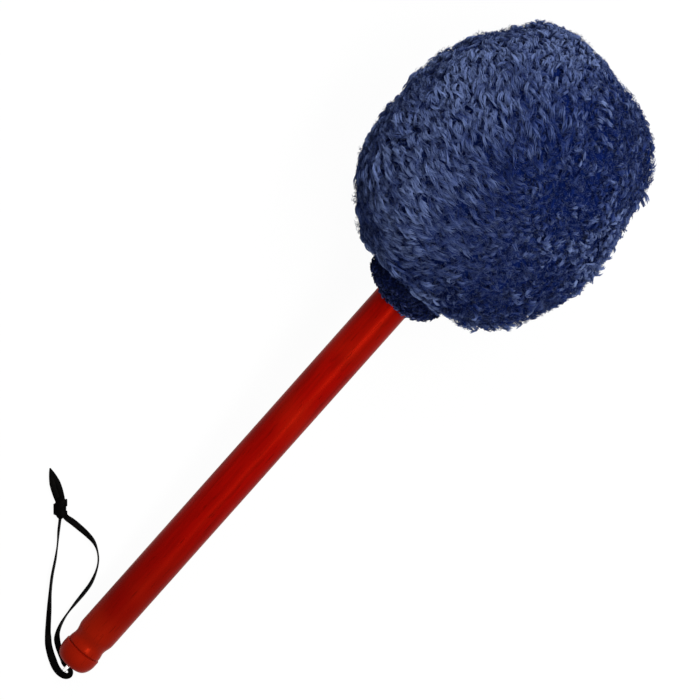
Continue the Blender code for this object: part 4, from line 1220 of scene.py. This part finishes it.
class MALLET_OT_hem(Operator):
    """Gathers the hem of the cover round the handle, with its short curled pile"""

    bl_idname = "mallet.hem"
    bl_label = "Gathered hem"
    SEED = 23
    SIDES = 180
    PLEATS = 12
    PLEAT_DEPTH = 0.0014
    PLEATS_FROM_RADIUS = 0.0136
    LENGTH = 0.0090
    EDGE_RADIUS = 0.0130
    SWELL = 1.6
    SWELL_STEPS = 14
    SLANT = 0.0026
    ROUND = 0.0008
    BELOW_HEAD = 0.0016
    SPACING = 0.0017
    ROOTS_UNDER = 0.0002
    LEAN_STEP = 0.001
    PER_TUFT = 5
    RINGS = 5
    SWIRL_SCALE = 120.0
    RIM_WIDTH = 0.0014
    # Painted shadow: how far from the head the hem's pile is painted darker
    UNDER_HEAD_SHADE = 0.0055

    def outline(self):
        """The hem's (along, radius) rings, and where its two ends lie along the handle."""
        size = sizes()
        end = size.head_widest - size.head_back - self.BELOW_HEAD - TABLE_CLEARANCE
        start = end - self.LENGTH
        hole = size.shaft_diameter / 2 + TABLE_CLEARANCE
        points = [
            (start + 0.0016, hole),
            (start + 0.0003, hole + 0.0003),
            (start, hole + 0.0007),
            (start, self.EDGE_RADIUS - self.ROUND),
            (start + 0.0003, self.EDGE_RADIUS - 0.0003),
        ]
        swell_start = start + self.ROUND
        for k in range(self.SWELL_STEPS + 1):
            share = 1 - (1 - k / self.SWELL_STEPS) ** self.SWELL
            radius = self.EDGE_RADIUS + (size.neck_radius - self.EDGE_RADIUS) * share
            points.append((swell_start + (end + 0.0010 - swell_start) * k / self.SWELL_STEPS, radius))
        points += [(end + 0.0050, size.neck_radius), (end + 0.0100, size.neck_radius - 0.0010)]
        return points, start, end

    def pleated(self, radius, turn):
        depth = self.PLEAT_DEPTH * float(eased(radius, self.PLEATS_FROM_RADIUS, sizes().neck_radius))
        return radius + depth * (cos(self.PLEATS * turn) - 1) / 2

    def slanted(self, along, side, start):
        """The free edge sits askew on the handle: drawn back on one side, and less towards the head."""
        near_edge = 1 - float(eased(along, start, start + self.LENGTH))
        return along + self.SLANT * near_edge * (1 + side / self.EDGE_RADIUS) / 2

    def roots(self, rng, rows, start):
        """Places and outward normals of the tufts, with X along the handle, on rows of the outline."""
        walked = np.concatenate([[0], np.cumsum(np.hypot(*np.diff(rows, axis=0).T))])
        local, normal = [], []
        for middle in np.arange(self.SPACING / 2, walked[-1], self.SPACING):
            number = round(tau * np.interp(middle, walked, rows[:, 1]) / self.SPACING)
            for k in range(number):
                distance = min(max(middle + rng.uniform(-0.4, 0.4) * self.SPACING, 0), walked[-1] - 1e-5)
                turn = (k + rng.random()) * tau / number
                along, radius = (np.interp(distance, walked, row) for row in rows.T)
                ahead = distance + self.LEAN_STEP
                lean_along, lean_out = (np.interp(ahead, walked, row) for row in rows.T)
                lean_along, lean_out = lean_along - along, lean_out - radius
                root = self.pleated(radius, turn) - self.ROOTS_UNDER
                side = root * sin(turn)
                local.append((self.slanted(along, side, start), side, root * cos(turn)))
                normal.append((-lean_out, lean_along * sin(turn), lean_along * cos(turn)))
        return np.array(local), unit(np.array(normal))

    def execute(self, context):
        points, start, end = self.outline()
        piece = lathe("gathered_hem", points, self.SIDES)
        for point in piece.data.vertices:
            radius = (point.co.y**2 + point.co.z**2) ** 0.5
            share = self.pleated(radius, atan2(point.co.y, point.co.z)) / radius
            point.co.y *= share
            point.co.z *= share
            point.co.x = self.slanted(point.co.x, point.co.y, start)
        lay_on_axis(piece)
        tone = colours()
        # The knit is mostly the hem's darkest colour: its own dark knit, and painted shade under the head's
        # pile
        knit = matted_backing("dark_knit", tone.hem_navy, tone.hem_depth_shade)
        dress(piece, knit, replaced=["cover_hem"])
        rng = np.random.default_rng(self.SEED)
        edge = self.EDGE_RADIUS - self.ROUND
        outer = np.array([row for row in points if row[0] >= start and row[1] >= edge])
        local, normal = self.roots(rng, outer, start)
        roots, normals = from_handle(local), normal @ AXIS_TURN.T
        lay = swirled(roots, self.SWIRL_SCALE) * 2.0 + rng.normal(size=roots.shape) * 0.3
        count = len(roots)
        # Painted light and shade on the hem's pile: lighter at its free edge, and darker towards the head, in
        # the shadow of its pile
        rim = fading(local[:, 0] - start, self.RIM_WIDTH)
        under_head_shade = eased(local[:, 0], end - self.UNDER_HEAD_SHADE, end)
        looks = {
            "height": rng.uniform(0.0010, 0.0022, count) * (1 - 0.5 * rim),
            "droop": rng.uniform(0.0, 0.5, count),
            "reach": rng.uniform(0.0020, 0.0036, count) * (1 - 0.7 * rim),
            "curl": np.full(count, 0.0006),
            "width": np.full(count, 0.0005),
            "spread": np.full(count, self.SPACING * 0.4),
            "shade": rng.uniform(-0.1, 0.7, count) + 0.4 * rim - 0.5 * under_head_shade,
        }
        combs = along_surface(lay, normals)
        strands = grow_tufts(roots, normals, combs, looks, self.PER_TUFT, self.RINGS, rng)
        pile_knit = strand_pile("dark_knit_pile", tone.hem_depth_shade, tone.hem_navy, tone.hem_slate, 0.1)
        dress_pile(pile_mesh("hem_pile", *strands, normals), pile_knit)
        return {"FINISHED"}


class MALLET_OT_inside(Operator):
    """Finishes the pieces inside the head: core, weight, screw, felts, batting, bag and cords"""

    bl_idname = "mallet.inside"
    bl_label = "Inside of the head"
    # Name, lighter and darker shade, scale of the fibres, their depth, and the pieces made of them
    FIBRES = (
        ("wool_felt", (0.48, 0.47, 0.44), (0.34, 0.33, 0.31), 1500.0, 0.0002,
         ("felt_disc_back", "felt_disc_front", "felt_wrap_inner", "felt_wrap_outer")),
        ("white_batting", (0.86, 0.85, 0.81), (0.68, 0.67, 0.63), 420.0, 0.0012, ("padding",)),
        ("plain_cotton", (0.70, 0.67, 0.59), (0.56, 0.53, 0.46), 2400.0, 0.0001, ("liner_bag",)),
        ("waxed_thread", (0.33, 0.29, 0.20), (0.22, 0.18, 0.12), 3200.0, 0.0001, ("liner_tie",)),
        ("black_cord", (0.03, 0.03, 0.035), (0.012, 0.012, 0.015), 2600.0, 0.0001, ("draw_cord",)),
    )

    def execute(self, context):
        finishes = [(fibrous(*row), nodes) for *row, nodes in self.FIBRES]
        finishes.append((core_wood(), ("core_drum",)))
        finishes.append((zinc_steel(), ("core_weight", "core_washer", "core_screw")))
        for material, nodes in finishes:
            for node in nodes:
                for place in FRAME["nodes"][node].material_slots:
                    place.material = material
        return {"FINISHED"}


class MALLET_OT_stage(Operator):
    """Sets the white table, the soft lights and the camera straight above the mallet"""

    bl_idname = "mallet.stage"
    bl_label = "Stage"
    TABLE_SIZE = 12.0
    TABLE_GREY = 0.85
    TABLE_BOUNCE = 0.50
    TABLE_GLOW = 0.96
    SKY_LIGHT = 0.36
    # Each lamp: name, place, what it points at, width, height and watts
    LAMPS = (
        ("strip_key", (0.45, -0.60, 1.6), (0.30, 0.0, 0.03), 2.0, 0.40, 36.0),
        ("soft_fill", (1.2, 0.45, 1.3), (0.10, 0.0, 0.05), 1.0, 1.0, 14.0),
    )

    def seen(self, tree):
        """1 for what the camera, mirrors and glass see, and 0 for the light that falls on things."""
        path = add_node(tree, "ShaderNodeLightPath")
        seen = maths(tree, "ADD", path.outputs["Is Camera Ray"], path.outputs["Is Glossy Ray"])
        return maths(tree, "ADD", seen, path.outputs["Is Transmission Ray"], clamp=True)

    def white(self, name):
        """White to the camera, mirrors and glass, with some of the mallet's shadow left in it."""
        material = bpy.data.materials.new(name)
        material.use_nodes = True
        tree = material.node_tree
        tree.nodes.clear()
        seen = self.seen(tree)
        grey = mixed(tree, seen, (self.TABLE_BOUNCE,) * 3, (self.TABLE_GREY,) * 3)
        diffuse = add_node(tree, "ShaderNodeBsdfDiffuse", (("Color", grey),)).outputs[0]
        glow = add_node(tree, "ShaderNodeEmission", (("Strength", 1.0),)).outputs[0]
        share = maths(tree, "MULTIPLY", seen, self.TABLE_GLOW)
        both = add_node(tree, "ShaderNodeMixShader", (("Fac", share), (1, diffuse), (2, glow))).outputs[0]
        tree.links.new(both, add_node(tree, "ShaderNodeOutputMaterial").inputs["Surface"])
        return material

    def lamp(self, name, place, target, width, height, power):
        bpy.ops.object.light_add(type="AREA", location=place)
        lamp = bpy.context.object
        lamp.name = name
        lamp.data.shape = "RECTANGLE"
        lamp.data.size = width
        lamp.data.size_y = height
        lamp.data.energy = power
        lamp.rotation_euler = (Vector(target) - Vector(place)).to_track_quat("-Z", "Y").to_euler()

    def execute(self, context):
        bpy.ops.object.select_all(action="DESELECT")
        bpy.ops.mesh.primitive_plane_add(size=self.TABLE_SIZE, location=(0, 0, 0))
        table = bpy.context.object
        table.name = "white_table"
        table.data.materials.append(self.white("white_table"))
        for row in self.LAMPS:
            self.lamp(*row)
        world = bpy.data.worlds.new("studio")
        bpy.context.scene.world = world
        world.use_nodes = True
        sky = world.node_tree.nodes["Background"]
        sky.inputs["Color"].default_value = (1.0, 1.0, 1.0, 1.0)
        strength = ranged(world.node_tree, self.seen(world.node_tree), self.SKY_LIGHT, 1.0)
        world.node_tree.links.new(strength, sky.inputs["Strength"])
        along, aside = CAMERA_FROM_END_FACE
        place = (END_FACE.x + along, END_FACE.y + aside, CAMERA_HEIGHT)
        bpy.ops.object.camera_add(location=place, rotation=(0, 0, CAMERA_TURN))
        camera = bpy.context.object
        camera.data.lens = CAMERA_LENS
        camera.data.clip_end = 50.0
        context.scene.camera = camera
        context.scene.view_settings.view_transform = "Standard"
        return {"FINISHED"}


class MALLET_PT_panel(Panel):
    bl_idname = "MALLET_PT_panel"
    bl_label = "Gong Mallet"
    bl_space_type = "VIEW_3D"
    bl_region_type = "UI"
    bl_category = "Mallet"

    def draw(self, context):
        for operator in OPERATORS:
            self.layout.operator(operator.bl_idname)
        for group in (context.scene.mallet_sizes, context.scene.mallet_pile, context.scene.mallet_colours):
            for name in group.__annotations__:
                self.layout.prop(group, name)


OPERATORS = (
    MALLET_OT_stage,
    MALLET_OT_lace,
    MALLET_OT_handle,
    MALLET_OT_screw_eye,
    MALLET_OT_fleece,
    MALLET_OT_hem,
    MALLET_OT_inside,
)
CLASSES = (MalletSizes, PileSettings, MalletColours, *OPERATORS, MALLET_PT_panel)


def register():
    for item in CLASSES:
        bpy.utils.register_class(item)
    bpy.types.Scene.mallet_sizes = PointerProperty(type=MalletSizes)
    bpy.types.Scene.mallet_pile = PointerProperty(type=PileSettings)
    bpy.types.Scene.mallet_colours = PointerProperty(type=MalletColours)


def unregister():
    del bpy.types.Scene.mallet_colours, bpy.types.Scene.mallet_pile, bpy.types.Scene.mallet_sizes
    for item in reversed(CLASSES):
        bpy.utils.unregister_class(item)


def main():
    register()
    noise.seed_set(NOISE_SEED)
    for operator in OPERATORS:
        group, name = operator.bl_idname.split(".")
        getattr(getattr(bpy.ops, group), name)()


if __name__ == "__main__":
    main()
